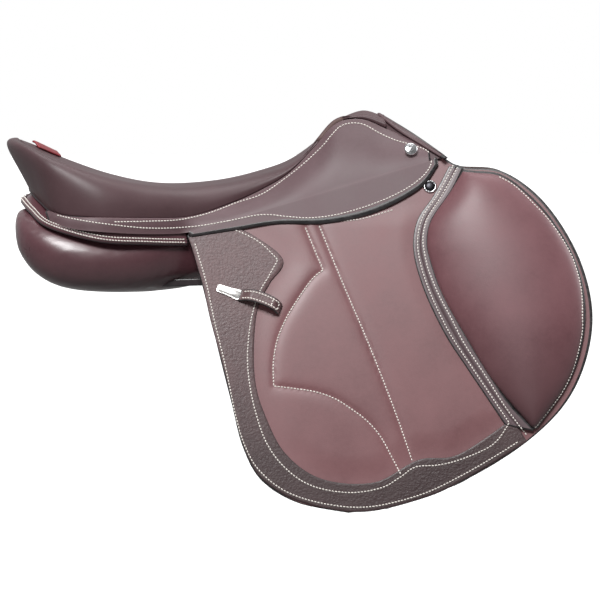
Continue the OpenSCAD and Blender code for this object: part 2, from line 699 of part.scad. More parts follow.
tree_frame();
head_plate();
gullet_plate();
cantle_plate();
spring_steel(1);  // spring_steel_left
spring_steel(-1);  // spring_steel_right
tree_rivets();
stirrup_bar(1);  // stirrup_bar_left
stirrup_bar(-1);  // stirrup_bar_right
bar_catch(1);  // bar_catch_left
bar_catch(-1);  // bar_catch_right
catch_pin(1);  // catch_pin_left
catch_pin(-1);  // catch_pin_right
seat_webbing();
cross_webbing();
girth_web(1);  // girth_web_left
girth_web(-1);  // girth_web_right
seat_foam();
seat_cover();
seat_welt();
cantle_tag();
pommel_facing();
skirt_top(1);  // skirt_top_left
skirt_top(-1);  // skirt_top_right
skirt(1);  // skirt_left
skirt(-1);  // skirt_right
skirt_nail(1);  // skirt_nail_left
skirt_nail(-1);  // skirt_nail_right
flap(1);  // flap_left
flap(-1);  // flap_right
flap_border(1);  // flap_border_left
flap_border(-1);  // flap_border_right
knee_block(1);  // knee_block_left
knee_block(-1);  // knee_block_right
flap_stud(1);  // flap_stud_left
flap_stud(-1);  // flap_stud_right
keeper_strap(1);  // keeper_strap_left
keeper_strap(-1);  // keeper_strap_right
keeper_plate(1);  // keeper_plate_left
keeper_plate(-1);  // keeper_plate_right
sweat_flap(1);  // sweat_flap_left
sweat_flap(-1);  // sweat_flap_right
panel(1);  // panel_left
panel(-1);  // panel_right
panel_band(1);  // panel_band_left
panel_band(-1);  // panel_band_right
panel_bridge_front();
panel_bridge_rear();
point_pocket(1);  // point_pocket_left
point_pocket(-1);  // point_pocket_right
billet(1, billet_x[1]);  // billet_front_left
billet(-1, billet_x[1]);  // billet_front_right
billet(1, billet_x[0]);  // billet_rear_left
billet(-1, billet_x[0]);  // billet_rear_right
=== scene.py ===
"""Looks of the english saddle: leather, padding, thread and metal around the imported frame.

Shapes are worked out in millimetres, in the frame's axes: +X to the horse's head, +Y to the
horse's left, +Z up. Paired pieces are shaped on the left side and mirrored for the right.
"""

import json
import math

import bpy
import numpy as np
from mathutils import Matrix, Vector
from mathutils.bvhtree import BVHTree


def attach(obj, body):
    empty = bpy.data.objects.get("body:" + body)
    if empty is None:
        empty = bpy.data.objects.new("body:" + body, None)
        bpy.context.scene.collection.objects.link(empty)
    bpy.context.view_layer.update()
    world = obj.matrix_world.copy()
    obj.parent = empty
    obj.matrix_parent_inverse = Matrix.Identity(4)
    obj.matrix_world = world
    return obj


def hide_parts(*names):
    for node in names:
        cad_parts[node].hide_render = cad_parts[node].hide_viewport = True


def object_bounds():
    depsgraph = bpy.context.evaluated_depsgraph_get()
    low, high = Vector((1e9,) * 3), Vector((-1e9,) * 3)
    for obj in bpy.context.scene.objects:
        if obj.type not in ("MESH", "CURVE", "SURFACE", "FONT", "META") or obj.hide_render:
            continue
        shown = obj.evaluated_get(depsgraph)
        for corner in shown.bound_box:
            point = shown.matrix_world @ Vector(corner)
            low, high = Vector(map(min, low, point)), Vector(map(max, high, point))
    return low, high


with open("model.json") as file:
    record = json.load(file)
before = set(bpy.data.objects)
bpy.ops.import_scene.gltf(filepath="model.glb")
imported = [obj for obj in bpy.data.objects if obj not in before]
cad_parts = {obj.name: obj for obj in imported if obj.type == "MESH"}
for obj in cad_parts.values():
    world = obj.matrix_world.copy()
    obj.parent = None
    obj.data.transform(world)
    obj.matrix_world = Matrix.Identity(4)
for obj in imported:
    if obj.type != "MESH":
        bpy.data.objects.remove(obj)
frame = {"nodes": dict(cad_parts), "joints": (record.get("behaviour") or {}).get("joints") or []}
CAD_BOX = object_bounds()
MM = 0.001
SIDES = {"left": 1, "right": -1}

# ---- outlines, in millimetres ------------------------------------------------

# Flap, from the hinge line to its lowest edge: rear edge, then front edge.
FLAP_REAR = [(-15, 57.5), (-7, 37), (3.5, 0), (15, -45), (26.5, -91), (37.5, -133), (50, -181),
             (71, -219), (112, -244.5), (170, -256.2)]
FLAP_FRONT = [(281, 145.5), (303, 134), (352, 128), (400, 90), (438, 25), (450, -45),
              (429, -117), (381, -171.5), (302, -220.5), (215, -251.8)]
# Grained border: outer edge, inner edge, and the two rows of thread on it.
BORDER_OUTER = [(-13, 54), (-8, 40), (-2, 20), (4.5, -2), (13, -40), (27.5, -91), (38.5, -133),
                (51, -181), (72, -218), (116, -243.5), (184, -255.5), (255, -240.5), (302, -219.5),
                (374, -177.5)]
BORDER_INNER = [(30, 69), (60, 57), (95, 29), (80, 3), (67, -22), (62, -58), (63, -106),
                (74, -145), (98, -190), (140, -219), (200, -223), (250, -198), (296, -192), (358, -152)]
BORDER_THREAD_OUT = [(-6, 48), (7, 5), (17, -40), (29, -88), (41, -144), (51, -178), (68, -208),
                     (100, -233), (146, -247), (195, -250), (253, -236.5), (299, -215.5),
                     (338, -193.5), (364, -177.5)]
CORNER_THREAD = [(26, 68), (51, 58.5), (71, 47), (89.5, 29)]
BORDER_THREAD_IN = [(89.5, 29), (79, 10), (67, -11), (58.5, -42), (55, -78), (57, -108), (64, -142),
                    (77, -178), (98, -206), (128, -226), (170, -234), (207, -229), (229, -217),
                    (247, -205.5), (272, -203.5), (296, -198), (326, -186), (341, -175), (354, -156)]
# Quilting of the flap's centre: a bent line and a straight one.
QUILT_TOP = [(121, 66), (131, 42), (141.5, 17.5)]
QUILT_SIDE = [(141.5, 17.5), (129, 7), (113, -15), (99, -38), (89, -62), (84.5, -88), (85, -114)]
QUILT_FOOT = [(85, -114), (110, -117), (132, -120.5), (154, -128), (175, -141), (193, -155),
              (208, -173), (221, -197), (230, -214)]
QUILT_LONG = [(137, 68), (157.5, 18), (172, -16), (190, -58), (207, -100), (226.5, -151), (243, -199)]
# Edge of the centre leather over the knee block, and its two rows of thread.
BLOCK_SEAM = [(302, 133.5), (289, 108), (267, 76), (261, 51), (265, 27.5), (278, -9), (307, -62),
              (336, -109), (355.5, -137), (381, -163.5)]
SEAM_THREAD_IN = [(292, 137), (274, 103.5), (257, 79), (250.7, 56), (251.5, 34), (258, 9), (269, -19.5),
                  (288, -57), (311, -92), (332.5, -124), (354, -156)]
SEAM_THREAD_OUT = [(297, 135), (278.5, 102.5), (262, 77), (256.5, 56), (257.6, 40), (262.5, 18),
                   (274, -10.5), (289, -39), (303, -66), (327, -102.5), (349, -137), (374, -170)]
# Front and rear of the knee block, and the thread that sews it down near the flap's edge.
BLOCK_FRONT = [(318, 128.5), (345, 125), (371, 108), (401, 77), (427, 34), (439, -10), (438, -57),
               (422, -107), (385, -160)]
BLOCK_REAR = [(303, 130), (287, 105), (266, 74), (261, 48), (266, 24), (280, -14), (307, -62),
              (336, -109), (380, -161)]
BLOCK_THREAD = [(344, 124), (357.5, 117), (370, 107), (385, 92), (400, 76), (415, 55), (427, 33.5),
                (434, 12.5), (438, -9), (438.5, -38), (437.5, -57.5), (428, -94), (415, -121),
                (397, -145), (383, -162)]
# Sweat flap under the flap.
SWEAT_REAR = [(8, -4), (11, -12), (15, -26), (22, -52), (33, -91), (44, -133), (58, -178),
              (80, -214), (118, -236), (172, -247)]
SWEAT_FRONT = [(288, 96), (326, 110), (368, 100), (406, 72), (436, 16), (446, -45), (422, -112),
               (374, -164), (300, -222), (215, -246)]
# Free part of the skirt: the fold, then the lower edge round the nose.
SKIRT_FOLD = [(-11, 60.5), (38, 75), (92, 91), (146, 107), (200, 123), (250, 138), (270, 144)]
SKIRT_EDGE = [(-9, 58.5), (40, 66), (88, 73), (146, 74), (200, 86), (250, 112), (271, 138)]
# Thread along the skirt's top, round its nose and back along its edge, and a row on the flap below.
SKIRT_THREAD = [(-98, 73), (-60, 73.5), (-23, 75), (11, 82.5), (42, 94), (70.5, 103.5), (95.5, 120),
                (118, 137.5), (140.5, 158.5), (151.5, 171.5), (161, 181), (171, 185), (182, 185.3),
                (192, 182.5), (208, 173.5), (225, 166), (241, 161.5), (255, 157), (262, 153.5),
                (266, 148), (266.5, 139.5), (262, 130.5), (253, 121), (238, 110.5), (219.5, 101),
                (197, 92), (173, 84.5), (150, 79.3), (125, 76.8), (100, 78.4), (80, 80.5), (62, 79.5),
                (29, 72.8), (-11, 66.7), (-58, 65.6), (-103, 70.2), (-138, 75.3), (-164, 80.5)]
SKIRT_SHADOW_THREAD = [(138, 72), (150, 72.5), (185, 75.5), (222, 86)]

# ---- outlines in space, left side ---------------------------------------------

SEAT_CENTRE = [(-210, 0, 165), (-186, 0, 146), (-160, 0, 135), (-125, 0, 126), (-80, 0, 118),
               (-35, 0, 115), (0, 0, 117), (32, 0, 121.5), (66, 0, 130), (100, 0, 142),
               (130, 0, 162), (156, 0, 187), (186, 0, 200), (206, 0, 196)]
SEAT_CREST = [(-215, 0, 169), (-213, 46, 168), (-198, 84, 161), (-164, 112, 144.5), (-115, 114, 126.5),
              (-62, 96, 115), (-14, 74, 112.5), (28, 56, 117.5), (66, 44, 126.5), (102, 36, 139),
              (132, 28, 161.5), (157, 22, 186), (187, 20, 197), (209, 19, 192.5)]
SEAT_SEAM = [(-202, 0, 114), (-199, 52, 109), (-185, 92, 96), (-164, 126, 83), (-115, 144, 79),
             (-62, 131, 78), (-14, 111, 79), (28, 94, 92), (66, 80, 108), (102, 68, 129),
             (132, 55, 159), (157, 43, 187), (187, 38, 191), (214, 41, 181)]
SKIRT_TOP = [(-176, 123, 85), (-150, 140, 78), (-115, 148, 77), (-62, 135, 76), (-14, 115, 77),
             (28, 98, 89), (66, 84.5, 105), (102, 73, 126), (132, 60, 156), (157, 48, 184),
             (187, 43, 188.5), (214, 46, 178), (240, 60, 167), (262, 74, 156)]
SKIRT_LOW = [(-172, 130, 74), (-150, 143, 66), (-115, 151, 62), (-62, 138.5, 59), (-14, 119.5, 60.5),
             (28, 115, 74.1), (66, 110.5, 85.4), (102, 106.3, 96), (132, 102.5, 105), (160, 99, 113.3),
             (190, 95.5, 122.2), (218, 92, 130.5), (242, 89.5, 137.6), (264, 86.5, 144.2)]
FACING_TOP = [(209, 0, 197), (214, 26, 192.5), (232, 50, 178.5), (258, 70, 162.5), (280, 86, 149)]
FACING_FRONT = [(214, 0, 194), (224, 27, 188), (246, 54, 174), (268, 76, 158.5), (285, 90, 146)]
HEAD = [(184, 0, 177), (190, 44, 162), (199, 62, 134), (208, 70, 110), (216, 74, 88)]
BAND_TOP = [(-191, 34, 109), (-190, 60, 104), (-180, 90, 91), (-160, 120, 78), (-115, 137, 72.5),
            (-62, 126, 71.5), (-18, 108, 71)]
BAND_LOW = [(-207, 36, 97), (-205, 66, 95), (-194, 100, 84), (-172, 132, 68), (-115, 146, 53),
            (-62, 136, 49.5), (-16, 117, 48)]
# Sections of the panel: X, then Y and Z of the centre, half width, half height.
PANEL = [(-214, 80, 69, 12, 12), (-208, 82, 64, 34, 24), (-190, 86, 52, 48, 34), (-160, 92, 40.5, 54, 38),
         (-115, 94, 32, 54, 35.5), (-58, 87, 29, 49, 32), (0, 72, 33, 38, 28), (60, 62, 44, 32, 26),
         (120, 60, 56, 30, 24), (180, 58, 62, 28, 22), (226, 58, 58, 24, 20), (238, 60, 54, 14, 12)]

# ---- thicknesses, and distances out from the flap's middle layer, in millimetres --------------

FLAP_T = 4.0
FLAP_FACE = FLAP_T / 2
GAP = 0.1
BORDER_T = 1.6
SKIRT_INNER = 2.6
SKIRT_T = 4.0
SWEAT_FACE = -19.0
SWEAT_T = 5.0
COVER_T = 3.0

# ---- curves and surfaces ---------------------------------------------------------


def spline(keys, t):
    """Points at t (0 to 1) on a smooth curve through keys."""
    keys = np.asarray(keys, float)
    last = len(keys) - 1
    t = np.clip(np.asarray(t, float), 0, 1)
    i = np.minimum((t * last).astype(int), last - 1)
    f = (t * last - i)[..., None]
    a, b = keys[np.maximum(i - 1, 0)], keys[i]
    c, d = keys[i + 1], keys[np.minimum(i + 2, last)]
    bend = 2 * a - 5 * b + 4 * c - d
    return 0.5 * (2 * b + (c - a) * f + bend * f**2 + (3 * b - a - 3 * c + d) * f**3)


def even(points, step):
    """Points every step along a polyline."""
    points = np.asarray(points, float)
    run = np.concatenate([[0], np.cumsum(np.linalg.norm(np.diff(points, axis=0), axis=1))])
    count = max(int(run[-1] / step), 1)
    at = np.linspace(0, run[-1], count + 1)
    return np.stack([np.interp(at, run, points[:, k]) for k in range(points.shape[1])], axis=1)


def curve(keys, step=1.0):
    """The smooth curve through keys, as points every step."""
    return even(spline(keys, np.linspace(0, 1, 40 * len(keys))), step)


def ease(t):
    """Smooth rise from 0 to 1 as t goes from 0 to 1."""
    t = np.clip(t, 0, 1)
    return t * t * (3 - 2 * t)


def joint_named(name):
    """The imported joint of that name."""
    return next(j for j in frame["joints"] if j["name"] == name)


HINGE = joint_named("flap_left_lift")
HINGE_POS = np.array(HINGE["pos_m"]) / MM
HINGE_DIR = np.array(HINGE["axis"])
HINGE_FLAT = math.hypot(HINGE_DIR[0], HINGE_DIR[2])
# The flap's middle layer starts inside the hinge line, slopes out below it and curls back in.
HINGE_OUT = 7.2
FLAP_SPLAY = 0.36
FLAP_CURL = 0.00025


def below_hinge(x, z):
    """Distance below the hinge line in the XZ plane."""
    return ((x - HINGE_POS[0]) * HINGE_DIR[2] - (z - HINGE_POS[2]) * HINGE_DIR[0]) / HINGE_FLAT


def flap_y(x, z):
    """Distance of the flap's middle layer from the centre plane."""
    d = below_hinge(x, z)
    along = ((x - HINGE_POS[0]) * HINGE_DIR[0] + (z - HINGE_POS[2]) * HINGE_DIR[2]) / HINGE_FLAT
    toe = HINGE_DIR[1] / HINGE_FLAT
    return HINGE_POS[1] - HINGE_OUT + toe * along + FLAP_SPLAY * d - FLAP_CURL * d * d


def seat_point(u, v):
    """Seat surface: u from cantle to pommel, v from centre (0) to crest (1) to seam (2)."""
    u, v = np.broadcast_arrays(np.asarray(u, float), np.asarray(v, float))
    centre, crest, seam = (spline(keys, u) for keys in (SEAT_CENTRE, SEAT_CREST, SEAT_SEAM))
    across = np.clip(v, 0, 1)
    w = np.clip(v - 1, 0, 1)
    dish = 1.8
    top = np.empty(u.shape + (3,))
    top[..., :2] = centre[..., :2] + (crest - centre)[..., :2] * across[..., None]
    top[..., 2] = centre[..., 2] + (crest - centre)[..., 2] * across**dish
    down = np.sin(w * np.pi / 2)[..., None]
    side = top.copy()
    side[..., :2] = crest[..., :2] + (seam - crest)[..., :2] * down
    side[..., 2] = crest[..., 2] + (seam - crest)[..., 2] * (1 - np.cos(w * np.pi / 2))
    run = spline(SEAT_CREST, u + 0.01) - spline(SEAT_CREST, u - 0.01)
    out = np.stack([-run[..., 1], run[..., 0], 0 * u], axis=-1)
    out /= np.linalg.norm(out, axis=-1, keepdims=True)
    # the side swells outwards, most of all round the cantle
    swell = (3 + 17 * ease(1 - u * 2.6)) * np.sin(np.pi * w**0.75)
    side += out * swell[..., None]
    return np.where((v > 1)[..., None], side, top)


def face_grid(edge_a, edge_b, rows, cols, lift=0.0):
    """Grid between two outlines, laid on the flap's face."""
    t = np.linspace(0, 1, rows + 1)
    a, b = spline(edge_a, t), spline(edge_b, t)
    w = np.linspace(0, 1, cols + 1)[None, :, None]
    q = a[:, None] * (1 - w) + b[:, None] * w
    y = flap_y(q[..., 0], q[..., 1]) + lift
    return np.stack([q[..., 0], y, q[..., 1]], axis=-1)


def normals_of(grid):
    """Unit normals of a grid of points."""
    du = np.gradient(grid, axis=0)
    dv = np.gradient(grid, axis=1)
    n = np.cross(du, dv)
    return n / np.maximum(np.linalg.norm(n, axis=-1, keepdims=True), 1e-9)


def distance_to(lines, x, z):
    """Distance in the XZ plane from each point to the nearest of some outlines."""
    flat = np.stack([np.ravel(x), np.ravel(z)], axis=1)
    best = np.full(len(flat), 1e9)
    for line in lines:
        p = curve(line, 2.0)
        a, b = p[:-1], p[1:]
        ab = b - a
        length2 = np.maximum((ab**2).sum(1), 1e-9)
        for k in range(len(a)):
            t = np.clip(((flat - a[k]) @ ab[k]) / length2[k], 0, 1)
            near = a[k] + t[:, None] * ab[k]
            best = np.minimum(best, np.linalg.norm(flat - near, axis=1))
    return best.reshape(np.shape(x))


# ---- meshes -----------------------------------------------------------------------


def build(name, verts, faces, materials, slots=None):
    """A smooth mesh object from millimetre points."""
    mesh = bpy.data.meshes.new(name)
    mesh.from_pydata([tuple(v) for v in np.asarray(verts) * MM], [], [tuple(f) for f in faces])
    for m in materials:
        mesh.materials.append(m)
    if slots is not None:
        mesh.polygons.foreach_set("material_index", np.asarray(slots, dtype=np.int32))
    mesh.polygons.foreach_set("use_smooth", np.ones(len(mesh.polygons), dtype=bool))
    mesh.update()
    obj = bpy.data.objects.new(name, mesh)
    bpy.context.scene.collection.objects.link(obj)
    return obj


def mirrored(verts, faces, side):
    """The same points and faces for a side: the right side turns over."""
    verts = np.array(verts, float)
    if side > 0:
        return verts, faces
    verts[:, 1] *= -1
    return verts, [tuple(reversed(f)) for f in faces]


def grid_faces(rows, cols, start=0, flip=False):
    """Faces of a grid of points whose first point has the number start."""
    faces = []
    for i in range(rows - 1):
        for j in range(cols - 1):
            a = start + i * cols + j
            f = (a, a + 1, a + cols + 1, a + cols)
            faces.append(f[::-1] if flip else f)
    return faces


def ring_faces(rings, around):
    """Faces of a skin through rings of points, closed at both ends."""
    faces = []
    for i in range(rings - 1):
        for k in range(around):
            m = (k + 1) % around
            faces.append((i * around + k, i * around + m, (i + 1) * around + m, (i + 1) * around + k))
    faces.append(tuple(range(around - 1, -1, -1)))
    faces.append(tuple((rings - 1) * around + k for k in range(around)))
    return faces


def loop_of(rows, cols):
    """Indices round the border of a grid, and which side each belongs to."""
    start = [(j, "start") for j in range(cols)]
    far = [(i * cols + cols - 1, "far") for i in range(1, rows)]
    end = [((rows - 1) * cols + j, "end") for j in range(cols - 2, -1, -1)]
    near = [(i * cols, "near") for i in range(rows - 2, 0, -1)]
    loop = start + far + end + near
    return np.array([i for i, _ in loop]), [name for _, name in loop]


def rim_rings(outer, inner, loop, full, rim):
    """Rings of points round the edge of a sheet, from its face to its back.

    full says how far each point of the loop bulges out, 1 for half round."""
    tangent = outer[np.roll(loop, -1)] - outer[np.roll(loop, 1)]
    middle = (outer[loop] + inner[loop]) / 2
    half = (outer[loop] - inner[loop]) / 2
    out = np.cross(half, tangent)
    out /= np.maximum(np.linalg.norm(out, axis=1, keepdims=True), 1e-9)
    if np.sum((middle - outer.mean(axis=0)) * out) < 0:
        out = -out
    reach = np.linalg.norm(half, axis=1, keepdims=True) * full
    rings = []
    for k in range(1, rim + 1):
        angle = math.pi * k / (rim + 1)
        rings.append(middle + half * math.cos(angle) + out * reach * math.sin(angle))
    return rings


def turned_out(outer, inner):
    """Whether grid_faces of the outer grid already faces away from the inner grid."""
    i, j = outer.shape[0] // 2, outer.shape[1] // 2
    n = np.cross(outer[i + 1, j] - outer[i, j], outer[i, j + 1] - outer[i, j])
    return np.dot(n, outer[i, j] - inner[i, j]) < 0


def face_slots(rows, cols, dye, plain):
    """Material of each cell of a sheet's face: 1 (dyed) near the sides not in plain, else 0."""
    slots = []
    for r in range(rows - 1):
        for c in range(cols - 1):
            depth = {"start": r, "end": rows - 2 - r, "near": c, "far": cols - 2 - c}
            slots.append(int(any(d < dye for k, d in depth.items() if k not in plain)))
    return slots


def leather_sheet(name, outer, inner, side, materials, plain=(), butt=(), rim=4, bead=1.0, dye=0):
    """Closed sheet between two grids, with a rounded rim.

    materials are the face, the dyed rim and the back. The sides of the grid named in
    plain (start, end: first and last row; near, far: first and last column) aren't dyed.
    The sides named in butt are cut square, to meet another sheet. bead is how full the rim
    is, and dye how many cells of the face are dyed beside it."""
    rows, cols = outer.shape[:2]
    count = rows * cols
    flat_out, flat_in = outer.reshape(-1, 3), inner.reshape(-1, 3)
    loop, where = loop_of(rows, cols)
    full = np.array([0.05 if place in butt else bead for place in where])[:, None]
    verts = np.concatenate([flat_out, flat_in] + rim_rings(flat_out, flat_in, loop, full, rim))
    facing = turned_out(outer, inner)
    faces = grid_faces(rows, cols, 0, flip=not facing)
    slots = face_slots(rows, cols, dye, plain)
    back = grid_faces(rows, cols, count, flip=facing)
    faces += back
    slots += [2] * len(back)
    chain = [loop] + [2 * count + k * len(loop) + np.arange(len(loop)) for k in range(rim)]
    chain.append(loop + count)
    for a, b in zip(chain[:-1], chain[1:]):
        for k in range(len(loop)):
            m = (k + 1) % len(loop)
            f = (int(a[k]), int(b[k]), int(b[m]), int(a[m]))
            faces.append(f[::-1] if not facing else f)
            slots.append(0 if where[m] in plain else 1)
    verts, faces = mirrored(verts, faces, side)
    sheet = build(name, verts, faces, materials, slots)
    corner = {int(i) for i, place in zip(loop, where) if place in butt}
    corner |= {i + count for i in corner}
    for edge in sheet.data.edges:
        edge.use_edge_sharp = corner.issuperset(edge.vertices)
    return sheet


def tube(name, path, radius, side, material, sides=8):
    """Round cord of leather along a path of points, narrowed at its ends."""
    path = np.asarray(path, float)
    tangent = np.gradient(path, axis=0)
    tangent /= np.linalg.norm(tangent, axis=1, keepdims=True)
    across = np.cross(tangent, (0.0, 0.0, 1.0))
    across /= np.maximum(np.linalg.norm(across, axis=1, keepdims=True), 1e-9)
    over = np.cross(across, tangent)
    scale = np.ones(len(path))
    scale[0] = scale[-1] = 0.35
    rings = []
    for k in range(sides):
        a = 2 * math.pi * k / sides
        rings.append(path + (across * math.cos(a) + over * math.sin(a)) * (radius * scale)[:, None])
    verts = np.stack(rings, axis=1).reshape(-1, 3)
    verts, faces = mirrored(verts, ring_faces(len(path), sides), side)
    return build(name, verts, faces, [material])


def lathe(profile, steps=48):
    """Verts and faces of a turned shape: profile is (radius, height) pairs, Z up."""
    verts = []
    for r, h in profile:
        for k in range(steps):
            a = 2 * math.pi * k / steps
            verts.append((r * math.cos(a), r * math.sin(a), h))
    return np.array(verts, float), ring_faces(len(profile), steps)


class Surface:
    """A finished mesh that rows of thread and trim are laid on."""

    def __init__(self, objects, side):
        verts = []
        faces = []
        for o in objects:
            start = len(verts)
            verts += [v.co.copy() for v in o.data.vertices]
            faces += [tuple(start + i for i in p.vertices) for p in o.data.polygons]
        self.tree = BVHTree.FromPolygons(verts, faces)
        self.side = side

    def lay(self, xz):
        """Runs of points and normals (left-side sense) where an outline meets the surface."""
        runs, points, normals = [], [], []
        for x, z in xz:
            origin = Vector((x, 400 * self.side, z)) * MM
            hit, normal, _, _ = self.tree.ray_cast(origin, Vector((0, -self.side, 0)))
            if hit is not None:
                p, n = np.array(hit) / MM, np.array(normal)
                p[1] *= self.side
                n[1] *= self.side
                n = n if n[1] > 0 else -n
            if hit is None or (points and np.linalg.norm(p - points[-1]) > 6):
                if len(points) > 3:
                    runs.append((np.array(points), np.array(normals)))
                points, normals = [], []
            if hit is not None:
                points.append(p)
                normals.append(n)
        if len(points) > 3:
            runs.append((np.array(points), np.array(normals)))
        return runs


# One stitch, lying along X with +Z out of the leather: it dips in at both ends.
STITCH_RINGS = [(-0.5, -0.75, 0.35), (-0.44, -0.15, 0.85), (-0.25, 0.3, 1.0), (0.0, 0.42, 1.04),
                (0.25, 0.3, 1.0), (0.44, -0.15, 0.85), (0.5, -0.75, 0.35)]


def stitch_template(length, radius, sides=7):
    """Verts and faces of one stitch."""
    verts = []
    for x, lift, scale in STITCH_RINGS:
        for k in range(sides):
            a = 2 * math.pi * k / sides
            verts.append((x * length, radius * scale * math.cos(a), radius * (lift + scale * math.sin(a))))
    return np.array(verts), [f[::-1] for f in ring_faces(len(STITCH_RINGS), sides)]


class Thread:
    """Collects rows of stitches that belong to one body, and makes one object of them."""

    def __init__(self, name, side, material, pitch=3.5, length=2.8, radius=0.72, slant=7.0):
        self.name = name
        self.side = side
        self.material = material
        self.pitch = pitch
        self.slant = math.radians(slant)
        self.template, self.faces = stitch_template(length, radius)
        self.verts = []
        self.all_faces = []

    def row(self, points, normals):
        """Stitches along points that lie on a surface."""
        both = np.concatenate([points, normals], axis=1)
        run = np.concatenate([[0], np.cumsum(np.linalg.norm(np.diff(points, axis=0), axis=1))])
        count = int(run[-1] / self.pitch)
        at = (np.arange(count) + 0.5) * run[-1] / max(count, 1)
        mid = np.stack([np.interp(at, run, both[:, k]) for k in range(6)], axis=1)
        fore = np.stack([np.interp(at + 1, run, points[:, k]) for k in range(3)], axis=1)
        aft = np.stack([np.interp(at - 1, run, points[:, k]) for k in range(3)], axis=1)
        for p, n, t in zip(mid[:, :3], mid[:, 3:], fore - aft):
            n = n / np.linalg.norm(n)
            t = t - n * np.dot(t, n)
            t /= np.linalg.norm(t)
            s = np.cross(n, t)
            tilt = t * math.cos(self.slant) + s * math.sin(self.slant)
            s = np.cross(n, tilt)
            start = sum(len(v) for v in self.verts)
            local = self.template
            world = p + local[:, :1] * tilt + local[:, 1:2] * s + local[:, 2:3] * n
            self.verts.append(world)
            self.all_faces += [tuple(start + i for i in f) for f in self.faces]

    def lay(self, surface, outline):
        """A row of stitches where an outline meets a surface."""
        for points, normals in surface.lay(curve(outline)):
            self.row(points, normals)

    def make(self, body):
        """The mesh of all the stitches, fixed to a body."""
        if not self.verts:
            return None
        verts, faces = mirrored(np.concatenate(self.verts), self.all_faces, self.side)
        obj = build(self.name, verts, faces, [self.material])
        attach(obj, body)
        return obj


# ---- materials ----------------------------------------------------------------------


class Shader:
    """Small helper for building a material's nodes."""

    def __init__(self, name):
        self.mat = bpy.data.materials.new(name)
        self.mat.use_nodes = True
        self.tree = self.mat.node_tree
        self.nodes, self.links = self.tree.nodes, self.tree.links
        self.skin = self.nodes["Principled BSDF"]
        self.place = self.nodes.new("ShaderNodeTexCoord").outputs["Object"]

    def node(self, kind, inputs=None, **settings):
        """A new node, with values or links for its inputs and its own settings."""
        n = self.nodes.new("ShaderNode" + kind)
        for key, value in settings.items():
            setattr(n, key, value)
        for key, value in (inputs or {}).items():
            self.put(n.inputs[key], value)
        return n

    def put(self, socket, value):
        """Links a socket into another, or sets its plain value."""
        if isinstance(value, bpy.types.NodeSocket):
            self.links.new(value, socket)
        else:
            socket.default_value = value

    def stretched(self, scale):
        """Object coordinates scaled along each axis."""
        return self.node("Mapping", {"Vector": self.place, "Scale": scale}).outputs["Vector"]

    def noise(self, scale, detail=3.0, rough=0.55, vector=None):
        """Cloudy noise."""
        n = self.node("TexNoise", {"Vector": vector or self.place, "Scale": scale, "Detail": detail,
                                   "Roughness": rough})
        return n.outputs["Fac"]

    def cells(self, scale, feature="F1", vector=None):
        """Distance within irregular cells."""
        n = self.node("TexVoronoi", {"Vector": vector or self.place, "Scale": scale}, feature=feature)
        return n.outputs["Distance"]

    def spread(self, value, low, high, to_low=0.0, to_high=1.0):
        """The value moved from one range to another."""
        return self.node("MapRange", {"Value": value, "From Min": low, "From Max": high,
                                      "To Min": to_low, "To Max": to_high}).outputs["Result"]

    def blend(self, factor, a, b):
        """Colour between a and b."""
        n = self.node("Mix", data_type="RGBA")
        self.put(n.inputs["Factor"], factor)
        self.put(n.inputs[6], a)
        self.put(n.inputs[7], b)
        return n.outputs[2]

    def add(self, a, b, weight=1.0):
        """a plus weight times b."""
        n = self.node("Math", operation="MULTIPLY_ADD")
        self.put(n.inputs[0], b)
        n.inputs[1].default_value = weight
        self.put(n.inputs[2], a)
        return n.outputs[0]

    def bump(self, height, strength, distance):
        """Relief of the surface, its depth in metres."""
        n = self.node("Bump", {"Height": height, "Strength": strength, "Distance": distance})
        self.put(self.skin.inputs["Normal"], n.outputs["Normal"])

    def set(self, **values):
        """Fills in the surface's inputs by short names, and returns the material."""
        names = {"colour": "Base Color", "rough": "Roughness", "metal": "Metallic", "coat": "Coat Weight",
                 "coat_rough": "Coat Roughness", "sheen": "Sheen Weight", "sheen_rough": "Sheen Roughness",
                 "gloss": "Specular IOR Level"}
        for key, value in values.items():
            self.put(self.skin.inputs[names[key]], value)
        return self.mat


def rgb(r, g, b):
    """An opaque colour."""
    return (r, g, b, 1.0)


